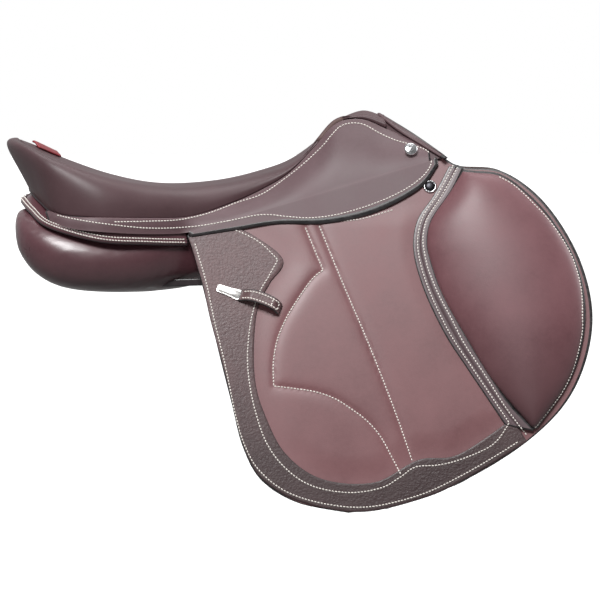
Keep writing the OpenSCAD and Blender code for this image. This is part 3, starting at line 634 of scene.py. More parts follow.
def leather(name, deep, mid, worn, rough, pebble=0.0, coat=0.22, burnish=None):
    """Dyed leather: blotches of dye, pores, creases and paler worn high spots.

    pebble is the depth of an embossed pebble grain, 0 for smooth leather. The heights for painted shade are
    a height and a lower height in metres; going down between them the colour is painted darker, as shade on
    the lower part."""
    s = Shader(name)
    cloud = s.noise(14.0, 4.0, 0.6)
    fine = s.noise(210.0, 5.0, 0.7)
    dye = s.blend(s.spread(cloud, 0.3, 0.72), deep, mid)
    flecks = s.spread(fine, 0.35, 0.75)
    dye = s.blend(s.add(0.0, flecks, 0.5), dye, mid)
    wear = s.node("NewGeometry").outputs["Pointiness"]
    dye = s.blend(s.spread(wear, 0.51, 0.62, 0.0, 0.45), dye, worn)
    creases = s.cells(130.0, "DISTANCE_TO_EDGE")
    pores = s.cells(900.0)
    height = s.add(s.add(s.spread(creases, 0.0, 0.2, 0.0, 0.12), pores, 0.5), fine, 0.5)
    if pebble:
        stones = s.cells(340.0, "SMOOTH_F1", s.stretched((1.0, 1.0, 1.15)))
        height = s.add(height, s.spread(stones, 0.1, 0.75, 1.0, 0.0), pebble)
        dye = s.blend(s.spread(stones, 0.3, 0.75, 0.0, 0.6), dye, deep)
    if burnish:
        # painted shade: the colour is painted darker towards the bottom, between the two given heights
        shade = s.spread(s.node("SeparateXYZ", {"Vector": s.place}).outputs["Z"], *burnish, 0.0, 0.75)
        dye = s.blend(shade, dye, rgb(*(0.3 * c for c in deep[:3])))
    s.bump(height, 0.2 + 0.25 * pebble, 0.0004 + 0.0005 * pebble)
    gloss = s.add(s.spread(cloud, 0.3, 0.7, rough - 0.05, rough + 0.06), fine, 0.06)
    return s.set(colour=dye, rough=gloss, coat=coat, coat_rough=0.35)


def dyed_edge():
    """Black dye painted on a cut edge."""
    s = Shader("dyed_edge")
    smear = s.noise(90.0, 4.0, 0.6, s.stretched((1.0, 3.0, 3.0)))
    colour = s.blend(s.spread(smear, 0.35, 0.8), rgb(0.012, 0.011, 0.012), rgb(0.05, 0.043, 0.045))
    s.bump(s.noise(700.0, 3.0), 0.25, 0.0003)
    return s.set(colour=colour, rough=s.spread(smear, 0.3, 0.7, 0.3, 0.46), coat=0.25, coat_rough=0.25)


def thread_material():
    """Pale waxed thread, with painted shade between its twisted strands."""
    s = Shader("waxed_thread")
    twist = s.node("TexWave", {"Vector": s.place, "Scale": 900.0, "Distortion": 2.0},
                   bands_direction="DIAGONAL").outputs["Fac"]
    tint = s.blend(s.noise(60.0, 3.0), rgb(0.80, 0.74, 0.68), rgb(0.94, 0.90, 0.84))
    # painted shade: darker in the grooves between the strands
    colour = s.blend(s.spread(twist, 0.0, 0.35, 0.3, 0.0), tint, rgb(0.4, 0.33, 0.3))
    s.bump(twist, 0.35, 0.0002)
    return s.set(colour=colour, rough=0.62, sheen=0.15)


def metal(name, colour, rough, streak=(3.0, 3.0, 60.0)):
    """Brushed metal with dull stains: streak stretches the brushing along each axis."""
    s = Shader(name)
    brushed = s.noise(180.0, 4.0, 0.6, s.stretched(streak))
    stain = s.noise(55.0, 4.0)
    dull = tuple(c * 0.72 for c in colour[:3]) + (1.0,)
    tint = s.blend(s.spread(stain, 0.35, 0.8, 0.0, 0.5), colour, dull)
    s.bump(brushed, 0.08, 0.0001)
    brushing = s.spread(brushed, 0.3, 0.7, rough, rough + 0.06)
    return s.set(colour=tint, metal=1.0, rough=s.add(brushing, stain, 0.05))


def wood_material():
    """Laminated beech under varnish."""
    s = Shader("beech_laminate")
    rings = s.node("TexWave", {"Vector": s.stretched((0.25, 1.0, 1.0)), "Scale": 55.0, "Distortion": 6.0,
                               "Detail": 3.0}, bands_direction="Z").outputs["Fac"]
    fibre = s.noise(240.0, 5.0, 0.6, s.stretched((0.12, 1.0, 1.0)))
    colour = s.blend(rings, rgb(0.42, 0.26, 0.13), rgb(0.6, 0.42, 0.24))
    colour = s.blend(s.spread(fibre, 0.45, 0.7, 0.0, 0.6), colour, rgb(0.3, 0.17, 0.08))
    s.bump(fibre, 0.2, 0.0003)
    return s.set(colour=colour, rough=s.spread(fibre, 0.3, 0.7, 0.35, 0.5), coat=0.3, coat_rough=0.2)


def webbing_material(pale, deep):
    """Linen webbing, woven and a little soiled."""
    s = Shader("linen_webbing")
    warp = s.node("TexWave", {"Vector": s.place, "Scale": 210.0}, bands_direction="X").outputs["Fac"]
    weft = s.node("TexWave", {"Vector": s.place, "Scale": 210.0}, bands_direction="Y").outputs["Fac"]
    weave = s.node("Math", {0: warp, 1: weft}, operation="MULTIPLY").outputs[0]
    colour = s.blend(s.spread(weave, 0.0, 0.6), deep, pale)
    colour = s.blend(s.spread(s.noise(25.0, 3.0), 0.4, 0.8, 0.0, 0.4), colour, deep)
    s.bump(weave, 0.6, 0.0006)
    return s.set(colour=colour, rough=0.85, sheen=0.3, sheen_rough=0.5)


def foam_material():
    """Open foam with small holes, painted darker inside them as shade."""
    s = Shader("seat_foam")
    holes = s.cells(620.0)
    # painted shade: the holes are coloured darker than the foam around them
    colour = s.blend(s.spread(holes, 0.1, 0.6), rgb(0.45, 0.38, 0.24), rgb(0.78, 0.7, 0.5))
    s.bump(holes, 0.6, 0.0008)
    return s.set(colour=colour, rough=s.spread(holes, 0.0, 0.7, 0.8, 0.95), sheen=0.2)


SMOOTH = leather("smooth_leather", rgb(0.140, 0.054, 0.059), rgb(0.196, 0.082, 0.088),
                 rgb(0.29, 0.16, 0.165), 0.43)
# knee block leather, with painted shade on its lower part
BLOCK = leather("block_leather", rgb(0.125, 0.048, 0.056), rgb(0.178, 0.074, 0.084),
                rgb(0.27, 0.15, 0.155), 0.45, coat=0.15, burnish=(-0.03, -0.17))
SEAT = leather("seat_leather", rgb(0.056, 0.026, 0.030), rgb(0.084, 0.042, 0.048),
               rgb(0.17, 0.10, 0.11), 0.45, coat=0.08)
SKIRT = leather("skirt_leather", rgb(0.084, 0.044, 0.050), rgb(0.120, 0.068, 0.077),
                rgb(0.21, 0.135, 0.145), 0.5, coat=0.08)
# grained border leather, with painted shade towards the flap's bottom
GRAINED = leather("grained_leather", rgb(0.070, 0.034, 0.036), rgb(0.142, 0.078, 0.081),
                  rgb(0.24, 0.16, 0.165), 0.44, pebble=0.7, coat=0.08, burnish=(-0.03, -0.2))
# panel leather, with painted shade on its lower part
PANEL_SKIN = leather("panel_leather", rgb(0.080, 0.028, 0.036), rgb(0.130, 0.052, 0.062),
                     rgb(0.24, 0.16, 0.17), 0.30, coat=0.7, burnish=(0.05, -0.005))
STRIP_SKIN = leather("strip_leather", rgb(0.070, 0.042, 0.047), rgb(0.115, 0.076, 0.084),
                     rgb(0.24, 0.18, 0.19), 0.4)
BAND_SKIN = leather("band_leather", rgb(0.016, 0.010, 0.012), rgb(0.034, 0.022, 0.026),
                    rgb(0.1, 0.07, 0.075), 0.4)
LINING = leather("flesh_side", rgb(0.085, 0.048, 0.044), rgb(0.135, 0.082, 0.075),
                 rgb(0.2, 0.14, 0.13), 0.72, coat=0.0)
RED = leather("red_leather", rgb(0.16, 0.006, 0.012), rgb(0.26, 0.014, 0.024), rgb(0.4, 0.05, 0.06), 0.5)
EDGE = dyed_edge()
THREAD = thread_material()
STEEL = metal("brushed_steel", rgb(0.58, 0.58, 0.6), 0.3)
CHROME = metal("polished_chrome", rgb(0.8, 0.8, 0.82), 0.12, streak=(8.0, 8.0, 8.0))
DARK_METAL = metal("blackened_metal", rgb(0.035, 0.035, 0.04), 0.3)
PLATE_METAL = metal("satin_plate", rgb(0.86, 0.84, 0.82), 0.28, streak=(40.0, 3.0, 3.0))
WOOD = wood_material()
WEBBING = webbing_material(rgb(0.6, 0.54, 0.4), rgb(0.33, 0.28, 0.18))
FOAM = foam_material()

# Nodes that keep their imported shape, and the material each is given.
KEPT = {
    "tree_frame": WOOD, "gullet_plate": STEEL, "cantle_plate": STEEL,
    "spring_steel": STEEL, "tree_rivets": STEEL, "stirrup_bar": STEEL, "bar_catch": STEEL,
    "catch_pin": STEEL, "seat_webbing": WEBBING, "cross_webbing": WEBBING, "girth_web": WEBBING,
    "seat_foam": FOAM, "panel_bridge_front": SMOOTH, "panel_bridge_rear": SMOOTH,
    "point_pocket": SMOOTH, "billet_front": GRAINED, "billet_rear": GRAINED,
}

# ---- seat ---------------------------------------------------------------------------


def inward(grid, depth):
    """The grid moved into the saddle along its normals."""
    return grid - normals_of(grid) * depth


def full_seat(u, v, lift=0.0):
    """Seat points over both sides: v runs from -2 (right seam) to 2 (left seam)."""
    uu, vv = np.meshgrid(u, v, indexing="ij")
    p = seat_point(uu, np.abs(vv))
    p[..., 1] *= np.where(vv < 0, -1, 1)
    return inward(p, -lift) if lift else p


def make_seat():
    """Seat leather, from seam to seam over both sides."""
    outer = full_seat(np.linspace(0, 1, 170), np.linspace(-2, 2, 161))
    # the leather is stretched across the seat, which softens the crest's edge
    for _ in range(30):
        outer[:, 1:-1] += (outer[:, :-2] + outer[:, 2:] - 2 * outer[:, 1:-1]) / 4
    seat = leather_sheet("seat_leather", outer, inward(outer, COVER_T), 1, [SEAT, SEAT, LINING])
    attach(seat, "root")
    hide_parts("seat_cover")


def make_tag():
    """Small plain tag sewn on the cantle's left crest."""
    tag_face, tag_back = (full_seat(np.linspace(0.15, 0.21, 14), np.linspace(0.86, 1.02, 10), lift)
                          for lift in (3.0, 0.4))
    tag = leather_sheet("cantle_tag_red", tag_face, tag_back, 1, [RED, RED, RED])
    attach(tag, "root")
    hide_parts("cantle_tag")


def make_welt(radius=1.6, drop=2.2, pommel_drop=5, count=260):
    """Round welt below the seat's seam. It drops away from the seat towards the pommel."""
    keys = curve(SEAT_SEAM, 2.0)
    left = keys[np.linspace(0, len(keys) - 1, count).astype(int)]
    left[:, 2] -= pommel_drop * np.linspace(0, 1, count) ** 4
    path = np.concatenate([left[::-1] * (1, -1, 1), left[1:]])
    path[:, 2] -= drop
    run = np.gradient(path, axis=0)
    out = np.stack([run[:, 1], -run[:, 0], 0 * run[:, 0]], axis=1)
    out /= np.linalg.norm(out, axis=1, keepdims=True)
    out *= np.sign(np.sum(out * (path - (0, 0, 80)), axis=1, keepdims=True))
    welt = tube("seat_welt_cord", path - out * radius, radius, 1, BAND_SKIN, sides=10)
    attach(welt, "root")
    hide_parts("seat_welt")


# ---- skirts and pommel facing -----------------------------------------------------------

def fold_height(x):
    """Height of the skirt's fold, which is the hinge line, above each X."""
    fold = curve(SKIRT_FOLD, 2.0)
    return np.interp(x, fold[:, 0], fold[:, 1])


def bezier(a, b, c, d, w):
    """Points at w (0 to 1) from a to d, leaving a towards b and arriving at d from c."""
    return a * (1 - w) ** 3 + 3 * b * w * (1 - w) ** 2 + 3 * c * w**2 * (1 - w) + d * w**3


def skirt_top_grid(rows, cols, sink):
    """Sewn part of the skirt, from the seat's seam down to its fold, sunk in by sink."""
    t = np.linspace(0, 1, rows + 1)
    top, low = spline(SKIRT_TOP, t), spline(SKIRT_LOW, t)
    free = low[:, 0] > SKIRT_FOLD[0][0]
    # past the start of the fold, the lower edge meets the free part on the flap
    blend = ease((low[:, 0] - SKIRT_FOLD[0][0] + 25) / 25)
    z = np.where(free, fold_height(low[:, 0]), low[:, 2])
    y = flap_y(low[:, 0], z) + SKIRT_INNER + SKIRT_T
    low[:, 1] += blend * (y - low[:, 1])
    low[:, 2] += blend * (z - low[:, 2])
    w = np.linspace(0, 1, cols + 1)[None, :, None]
    chord = low - top
    # and it arrives there at the slope of the flap
    lean = chord.copy()
    above = low - chord / 9
    on_flap = (flap_y(low[:, 0], low[:, 2]) - flap_y(above[:, 0], above[:, 2])) * 9
    lean[:, 1] += blend * (on_flap - lean[:, 1])
    q = bezier(top[:, None], (top + chord / 3)[:, None], (low - lean / 3)[:, None], low[:, None], w)
    bulge = np.linalg.norm(chord, axis=1)[:, None] * 0.05 * np.sin(np.pi * w[..., 0]) * (1 - w[..., 0] ** 2)
    q[..., 1] += bulge - sink
    q[..., 2] += bulge * 0.5 - sink * 0.4 * (1 - w[..., 0])
    return q


def hide_joint(top):
    """The skirt runs on into its lobe without an edge, so the rim between them isn't dyed."""
    start, end = -12 * MM, 255 * MM
    for face in top.data.polygons:
        if face.material_index == 1 and start < face.center.x < end:
            face.material_index = 0


def make_skirt(name, side):
    """Skirt of one side: the sewn part on the root, and the free lobe on its own body."""
    top = leather_sheet("skirt_root_" + name, skirt_top_grid(220, 26, 0), skirt_top_grid(220, 26, SKIRT_T),
                        side, [SKIRT, EDGE, LINING], plain=("near",), butt=("far",))
    hide_joint(top)
    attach(top, "root")
    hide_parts("skirt_top_" + name)
    lobe = leather_sheet("skirt_lobe_" + name,
                         face_grid(SKIRT_FOLD, SKIRT_EDGE, 170, 20, SKIRT_INNER + SKIRT_T),
                         face_grid(SKIRT_FOLD, SKIRT_EDGE, 170, 20, SKIRT_INNER),
                         side, [SKIRT, EDGE, LINING], plain=("near",), butt=("near",), bead=1.9, dye=2)
    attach(lobe, "skirt_" + name)
    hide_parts("skirt_" + name)
    for piece, body in ((top, "root"), (lobe, "skirt_" + name)):
        skin = Surface([piece], side)
        thread = Thread("skirt_thread_%s_%s" % (body.split("_")[0], name), side, THREAD, pitch=3.7)
        thread.lay(skin, SKIRT_THREAD)
        thread.make(body)


def arch_points(keys, w):
    """Points over the pommel: w from -1 on the right, over the centre plane, to 1 on the left."""
    points = spline(keys, np.abs(w))
    points[:, 1] *= np.where(w < 0, -1, 1)
    return points


def arch_row(keys, count, reach, dx, sink):
    """Row over the pommel from right to left, moved along X and in towards the horse."""
    w = np.linspace(-reach, reach, count)
    q = arch_points(keys, w + 0.02) - arch_points(keys, w - 0.02)
    into = np.stack([0 * w, q[:, 2], -q[:, 1]], axis=1)
    into /= np.linalg.norm(into, axis=1, keepdims=True)
    return arch_points(keys, w) + (dx, 0, 0) + into * sink


def between(row_a, row_b, rows):
    """Grid of straight lines from one row of points to another."""
    w = np.linspace(0, 1, rows)[:, None, None]
    return row_a[None] * (1 - w) + row_b[None] * w


def lining_grid(sink):
    """Pommel lining, from under the facing to further back and in, sunk in by sink."""
    front = arch_row(FACING_TOP, 161, 1.0, 3, sink)
    back = arch_row(FACING_TOP, 161, 1.0, -38, sink + 13)
    return between(front, back, 14)


def make_pommel_lining():
    """Leather turned under the seat behind the facing, so that the pommel is closed."""
    lining = leather_sheet("pommel_lining", lining_grid(1.5), lining_grid(3.5), 1, [SEAT, SEAT, LINING])
    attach(lining, "root")


def make_head_cover():
    """Leather over the steel plate of the head, which shows from in front."""
    face = np.stack([arch_row(HEAD, 121, 0.8, 18.5, sink) for sink in np.linspace(-8, 7, 10)])
    face[..., 0] += 1.6 * np.sin(np.linspace(0, np.pi, 10))[:, None]
    cover = leather_sheet("head_plate_cover", face, face - (4.5, 0, 0), 1, [SMOOTH, BAND_SKIN, LINING])
    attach(cover, "root")
    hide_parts("head_plate")


def make_facing():
    """Leather strip with a dyed front edge over the head."""
    face, back = (between(*(arch_row(keys, 161, 0.98, dx, sink) for keys in (FACING_TOP, FACING_FRONT)), 12)
                  for dx, sink in ((0, 0), (-2, 3.5)))
    facing = leather_sheet("pommel_facing_edge", face, back, 1, [SEAT, EDGE, LINING], plain=("start",),
                           bead=1.5, dye=3)
    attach(facing, "root")
    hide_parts("pommel_facing")


# ---- flaps ------------------------------------------------------------------------------


def inside(outline, x, z):
    """Whether points lie inside a closed outline in the XZ plane."""
    p = np.asarray(outline)
    hit = np.zeros(np.shape(x), bool)
    for (x0, z0), (x1, z1) in zip(p, np.roll(p, -1, axis=0)):
        if z0 == z1:
            continue
        crosses = (z0 > z) != (z1 > z)
        hit ^= crosses & (x < (x1 - x0) * (z - z0) / (z1 - z0) + x0)
    return hit


def flap_relief(x, z):
    """Height of the padding under the flap's centre leather, with its quilting pressed in."""
    quilts = [QUILT_TOP, QUILT_SIDE, QUILT_FOOT, QUILT_LONG]
    centre = np.concatenate([curve(BORDER_INNER, 4.0), curve(BLOCK_SEAM, 4.0)[::-1]])
    rim = distance_to([BORDER_INNER, BLOCK_SEAM], x, z)
    to_quilt = distance_to(quilts, x, z)
    pad = 1.3 * np.tanh(to_quilt / 7) * ease((rim - 3) / 30)
    groove = -0.7 * np.exp(-((to_quilt / 1.3) ** 2))
    top = ease((95 - z) / 30)
    return np.where(inside(centre, x, z), pad * top + groove, 0.0)


def block_rise(t, s):
    """Height of the knee block: t across from its rear edge, s from top to bottom."""
    body = 25 * np.sin(np.pi * t**1.1) ** 0.5 * np.sin(np.pi * s) ** 0.45
    return 5 + body


def flap_frame(x, z, turn=0.0):
    """Origin and axes of a spot on the flap's face: along, across and out of it."""
    dx = (flap_y(x + 1, z) - flap_y(x - 1, z)) / 2
    dz = (flap_y(x, z + 1) - flap_y(x, z - 1)) / 2
    along = np.array([1, dx, 0]) / math.hypot(1, dx)
    out = np.cross(np.array([0, dz, 1]), along)
    out /= np.linalg.norm(out)
    across = np.cross(out, along)
    c, s = math.cos(turn), math.sin(turn)
    return np.array([x, flap_y(x, z) + FLAP_FACE, z]), along * c + across * s, across * c - along * s, out


def placed(verts, spot):
    """Points moved from a spot's own axes into the frame's."""
    origin, along, across, out = spot
    return origin + verts[:, :1] * along + verts[:, 1:2] * across + verts[:, 2:3] * out


def make_flap(name, side):
    """Flap of one side with all that is sewn or fixed to it."""
    body = "flap_" + name
    outer = face_grid(FLAP_REAR, FLAP_FRONT, 170, 150, FLAP_FACE)
    outer[..., 1] += flap_relief(outer[..., 0], outer[..., 2])
    inner = face_grid(FLAP_REAR, FLAP_FRONT, 170, 150, -FLAP_FACE)
    flap = leather_sheet("flap_leather_" + name, outer, inner, side, [SMOOTH, EDGE, LINING], bead=0.4, dye=1)
    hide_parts("flap_" + name)
    border = leather_sheet("flap_grained_border_" + name,
                           face_grid(BORDER_OUTER, BORDER_INNER, 260, 16, FLAP_FACE + GAP + BORDER_T),
                           face_grid(BORDER_OUTER, BORDER_INNER, 260, 16, FLAP_FACE + GAP),
                           side, [GRAINED, EDGE, LINING], rim=3, bead=0.6)
    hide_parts("flap_border_" + name)
    strip = seam_strip(name, side)
    block = make_knee_block(name, side)
    for piece, finish in ((flap, "smooth_leather"), (border, "grained_leather"), (strip, "smooth_leather"),
                          (block, "smooth_leather")):
        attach(piece, body)
    rows = Thread("flap_thread_" + name, side, THREAD, pitch=3.7)
    skin = Surface([flap, border, strip, block], side)
    for line in (BORDER_THREAD_OUT, CORNER_THREAD, BORDER_THREAD_IN, QUILT_TOP, QUILT_SIDE, QUILT_FOOT,
                 QUILT_LONG, SEAM_THREAD_IN, SEAM_THREAD_OUT, BLOCK_THREAD, SKIRT_SHADOW_THREAD):
        rows.lay(skin, line)
    rows.make(body)
    make_stud(name, side)
    make_keeper(name, side)


def seam_strip(name, side):
    """Narrow double-sewn strip over the seam between the flap's centre and the knee block."""
    inner_edge = [(x - 4.5, z - 1.5) for x, z in SEAM_THREAD_IN]
    flat = face_grid(inner_edge, BLOCK_SEAM, 240, 18, FLAP_FACE)
    w = np.linspace(0, 1, 19)[None, :]
    crown = 2.2 + 3.6 * ease(w * 1.3) - 1.1 * np.exp(-(((w - 0.42) / 0.07) ** 2))
    over = flat.copy()
    over[..., 1] += crown * np.ones_like(flat[..., 1])
    return leather_sheet("block_seam_strip_" + name, over, flat, side, [STRIP_SKIN, EDGE, LINING],
                         bead=0.7, dye=1)


def make_knee_block(name, side):
    """Padded block on the front of the flap."""
    rows, cols = 170, 90
    under = face_grid(BLOCK_REAR, BLOCK_FRONT, rows, cols, FLAP_FACE + GAP)
    s, t = np.meshgrid(np.linspace(0, 1, rows + 1), np.linspace(0, 1, cols + 1), indexing="ij")
    over = under.copy()
    over[..., 1] += block_rise(t, s)
    block = leather_sheet("knee_block_cover_" + name, over, under, side, [BLOCK, EDGE, LINING])
    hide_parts("knee_block_" + name)
    return block


def make_stud(name, side):
    """Dark stud with a bright rim under the nose of the skirt."""
    rim = [(7.7, 0.1), (7.9, 0.7), (7.6, 1.5), (6.9, 2.1), (6.2, 2.2), (5.8, 1.9), (5.7, 1.2)]
    cap = [(5.75, 1.2), (5.5, 2.2), (4.6, 2.9), (3.0, 3.3), (1.2, 3.45), (0.05, 3.5)]
    spot = flap_frame(265, 112.5)
    for part, profile, material, finish in (
            ("stud_rim_", rim, CHROME, "bright_metal"), ("stud_cap_", cap, DARK_METAL, "dark_metal")):
        verts, faces = lathe(profile)
        world, faces = mirrored(placed(verts, spot), faces, side)
        piece = build(part + name, world, faces, [material])
        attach(piece, "flap_" + name)
        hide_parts("flap_stud_" + name)


def make_keeper(name, side):
    """Keeper for the stirrup leather: a metal plate and a loop of grained leather."""
    spot = flap_frame(34, -8, math.radians(20))
    make_keeper_plate(name, side, spot)
    make_keeper_strap(name, side, spot)


def make_keeper_plate(name, side, spot):
    """The metal plate, at its spot on the flap."""
    body = "flap_" + name
    verts, faces = tapered_plate()
    world, faces = mirrored(placed(verts, spot), faces, side)
    piece = build("keeper_plate_" + name + "_plain", world, faces, [PLATE_METAL])
    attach(piece, body)
    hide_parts("keeper_plate_" + name)


def make_keeper_strap(name, side, spot):
    """The leather loop and its thread, at the plate's spot."""
    body = "flap_" + name
    strap = keeper_loop()
    world = placed(strap.reshape(-1, 3), spot).reshape(strap.shape)
    outer, inner = world[:, :, 0], world[:, :, 1]
    loop = leather_sheet("keeper_loop_" + name, outer, inner, side, [GRAINED, EDGE, LINING])
    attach(loop, body)
    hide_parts("keeper_strap_" + name)
    thread = Thread("keeper_thread_" + name, side, THREAD, pitch=3.4)
    normals = normals_of(outer)
    normals *= np.sign(np.sum(normals * (outer - inner), axis=-1, keepdims=True))
    # a row along each long edge, and two rows across where the loop is sewn down
    for j in (2, outer.shape[1] - 3):
        thread.row(outer[4:-4, j], normals[4:-4, j])
    for i in (-5, -14):
        thread.row(outer[i, 2:-2], normals[i, 2:-2])
    thread.make(body)


def keeper_loop(width=12.0, room=7.0, thick=2.6):
    """Grid of (outer, inner) points of the keeper's strap: it lies flat at both ends."""
    x = np.linspace(13.8, 61, 64)
    low = BORDER_T + 0.5
    rise = ease((x - 13) / 14) * ease((62 - x) / 9)
    mid = low + thick / 2 + rise * (room - 0.3)
    bow = -3.4 * (1 - ((x - 37) / 24) ** 2)
    slope = np.gradient(mid, x)
    nx, nz = -slope, np.ones_like(x)
    size = np.hypot(nx, nz)
    y = np.linspace(-width / 2, width / 2, 14)
    grid = np.zeros((len(x), len(y), 2, 3))
    for k, sign in ((0, 1), (1, -1)):
        grid[:, :, k, 0] = (x + sign * thick / 2 * nx / size)[:, None]
        grid[:, :, k, 1] = y[None, :] + bow[:, None]
        grid[:, :, k, 2] = (mid + sign * thick / 2 * nz / size)[:, None]
    return grid


def tapered_plate():
    """Plain plate, narrower at its rear end, with a softened edge and a fine engraved border line."""
    half = [(-15.0, 2.6), (-14.4, 4.0), (-12.8, 4.7), (5.5, 5.5), (6.6, 6.2), (12.6, 6.3),
            (13.6, 5.8), (14.0, 4.8)]
    outline = np.array(half + [(x, -y) for x, y in reversed(half)])[::-1]
    # how far each ring is drawn in from the outline, and its height
    steps = [(0, 2.0), (0, 2.8), (0.1, 3.0), (0.35, 3.1), (1.2, 3.1), (1.4, 2.95), (1.7, 2.95), (1.9, 3.1)]
    rings = []
    for shrink, z in steps:
        scale = 1 - shrink / np.array([14.5, 5.6])
        rings.append(np.column_stack([outline * scale, np.full(len(outline), z)]))
    return np.concatenate(rings), ring_faces(len(rings), len(outline))


def make_nail(name, side):
    """Bright turned head of the nail that pins the nose of the skirt."""
    profile = [(7.6, 0.0), (7.8, 0.8), (7.5, 1.7), (6.7, 2.4), (5.4, 2.85), (4.9, 2.75), (4.4, 3.0),
               (2.6, 3.35), (2.1, 3.2), (1.7, 3.35), (0.8, 3.55), (0.05, 3.6)]
    verts, faces = lathe(profile, 56)
    spot = (np.array([243, 81.5, 155.5]),) + nail_axes()
    verts, faces = mirrored(placed(verts, spot), faces, side)
    nail = build("skirt_nail_head_" + name, verts, faces, [CHROME])
    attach(nail, "root")
    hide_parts("skirt_nail_" + name)


def nail_axes():
    """Axes of the skirt nail, whose head leans with the skirt under it."""
    lean = math.radians(-62)
    nod = math.radians(14)
    along = np.array([math.cos(nod), 0, -math.sin(nod)])
    across = np.array([math.sin(lean) * math.sin(nod), math.cos(lean), math.sin(lean) * math.cos(nod)])
    return along, across, np.cross(along, across)


# ---- panels, bands and sweat flaps --------------------------------------------------------


def panel_mesh(rows=70, around=48):
    """Rings of the panel's section, left side, with closed ends."""
    k = spline(PANEL, np.linspace(0, 1, rows))
    a = np.linspace(0, 2 * np.pi, around, endpoint=False)
    c = np.sign(np.cos(a)) * np.abs(np.cos(a)) ** 0.75
    s = np.sign(np.sin(a)) * np.abs(np.sin(a)) ** 0.75
    y = k[:, 1:2] + c * k[:, 3:4]
    z = k[:, 2:3] + s * k[:, 4:5] - 0.22 * c * k[:, 3:4]
    x = np.repeat(k[:, :1], around, axis=1)
    return np.stack([x, y, z], axis=-1).reshape(-1, 3), ring_faces(rows, around)


def mesh_of(obj):
    """Points in millimetres and faces of an object with its modifiers applied."""
    mesh = bpy.data.meshes.new_from_object(obj.evaluated_get(bpy.context.evaluated_depsgraph_get()))
    verts = np.empty(len(mesh.vertices) * 3)
    mesh.vertices.foreach_get("co", verts)
    faces = [tuple(p.vertices) for p in mesh.polygons]
    bpy.data.meshes.remove(mesh)
    return verts.reshape(-1, 3) / MM, faces


def stuffed(verts, faces, voxel=5.0, pressure=8.0, bending=2, stretch=8, frames=20, cap=6.0):
    """A closed skin swollen by its stuffing: cloth under pressure, remeshed in cells of voxel.

    bending and stretch are how stiffly the leather resists, and no point moves more than cap."""
    shell = build("stuffing", verts, faces, [])
    remesh = shell.modifiers.new("remesh", "REMESH")
    remesh.mode = "VOXEL"
    remesh.voxel_size = voxel * MM
    start, faces = mesh_of(shell)
    skin = build("stuffed_skin", start, faces, [])
    cloth = skin.modifiers.new("cloth", "CLOTH")
    cloth.settings.use_pressure = True
    cloth.settings.uniform_pressure_force = pressure
    cloth.settings.effector_weights.gravity = 0
    cloth.settings.bending_stiffness = bending
    cloth.settings.tension_stiffness = stretch
    cloth.settings.compression_stiffness = stretch
    cloth.point_cache.frame_start = 1
    cloth.point_cache.frame_end = frames
    for moment in range(1, frames + 1):
        bpy.context.scene.frame_set(moment)
    move = mesh_of(skin)[0] - start
    far = np.linalg.norm(move, axis=1, keepdims=True)
    end = start + move * np.minimum(1, cap / np.maximum(far, 1e-6))
    bpy.context.scene.frame_set(1)
    smooth = build("stuffed_smooth", end, faces, [])
    smooth.modifiers.new("subdivide", "SUBSURF").levels = 1
    done = mesh_of(smooth)
    for obj in (shell, skin, smooth):
        bpy.data.objects.remove(obj, do_unlink=True)
    return done


def panel_shape():
    """Panel of the left side: stuffed by simulation, from a slightly smaller start."""
    verts, faces = panel_mesh()
    middle = np.array([0.0, 84.0, 36.0])
    return stuffed(middle + (verts - middle) * (0.998, 0.99, 0.985), faces)


def make_panel(name, side):
    """Stuffed panel of one side."""
    verts, faces = mirrored(*PANEL_SHAPE, side)
    panel = build("panel_cushion_" + name, verts, faces, [PANEL_SKIN])
    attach(panel, "root")
    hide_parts("panel_" + name)


def make_band(name, side):
    """Gusset strip between the seat and the panel."""
    top, low = (spline(keys, np.linspace(0, 1, 120)) for keys in (BAND_TOP, BAND_LOW))
    w = np.linspace(0, 1, 14)[None, :, None]
    outer = top[:, None] * (1 - w) + low[:, None] * w
    outer[..., 1] += 3 * np.sin(np.pi * w[..., 0])
    band = leather_sheet("panel_gusset_" + name, outer, outer - (0, 2.2, 0), side,
                         [PANEL_SKIN, PANEL_SKIN, LINING])
    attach(band, "root")
    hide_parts("panel_band_" + name)


def make_sweat_flap(name, side):
    """Plain flap next to the horse, under the main flap."""
    sweat = leather_sheet("sweat_flap_leather_" + name,
                          face_grid(SWEAT_REAR, SWEAT_FRONT, 120, 100, SWEAT_FACE),
                          face_grid(SWEAT_REAR, SWEAT_FRONT, 120, 100, SWEAT_FACE - SWEAT_T),
                          side, [SMOOTH, EDGE, SMOOTH])
    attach(sweat, "root")
    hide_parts("sweat_flap_" + name)


def make_panel_strap(name, side):
    """Thin strap that holds the panel down, seen under it where it goes behind the flap."""
    x = np.linspace(-47, 20, 50)
    z = np.linspace(4.8, -0.8, 8)
    outer = np.stack(np.meshgrid(x, z, indexing="ij"), axis=-1)
    outer = np.insert(outer, 1, flap_y(10, 0) + SWEAT_FACE - SWEAT_T - 1, axis=-1)
    outer[..., 2] += 1.2 * ease((outer[..., 0] + 47) / 60)
    strap = leather_sheet("panel_strap_" + name, outer, outer - (0, 3, 0), side, [BAND_SKIN, EDGE, LINING])
    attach(strap, "root")


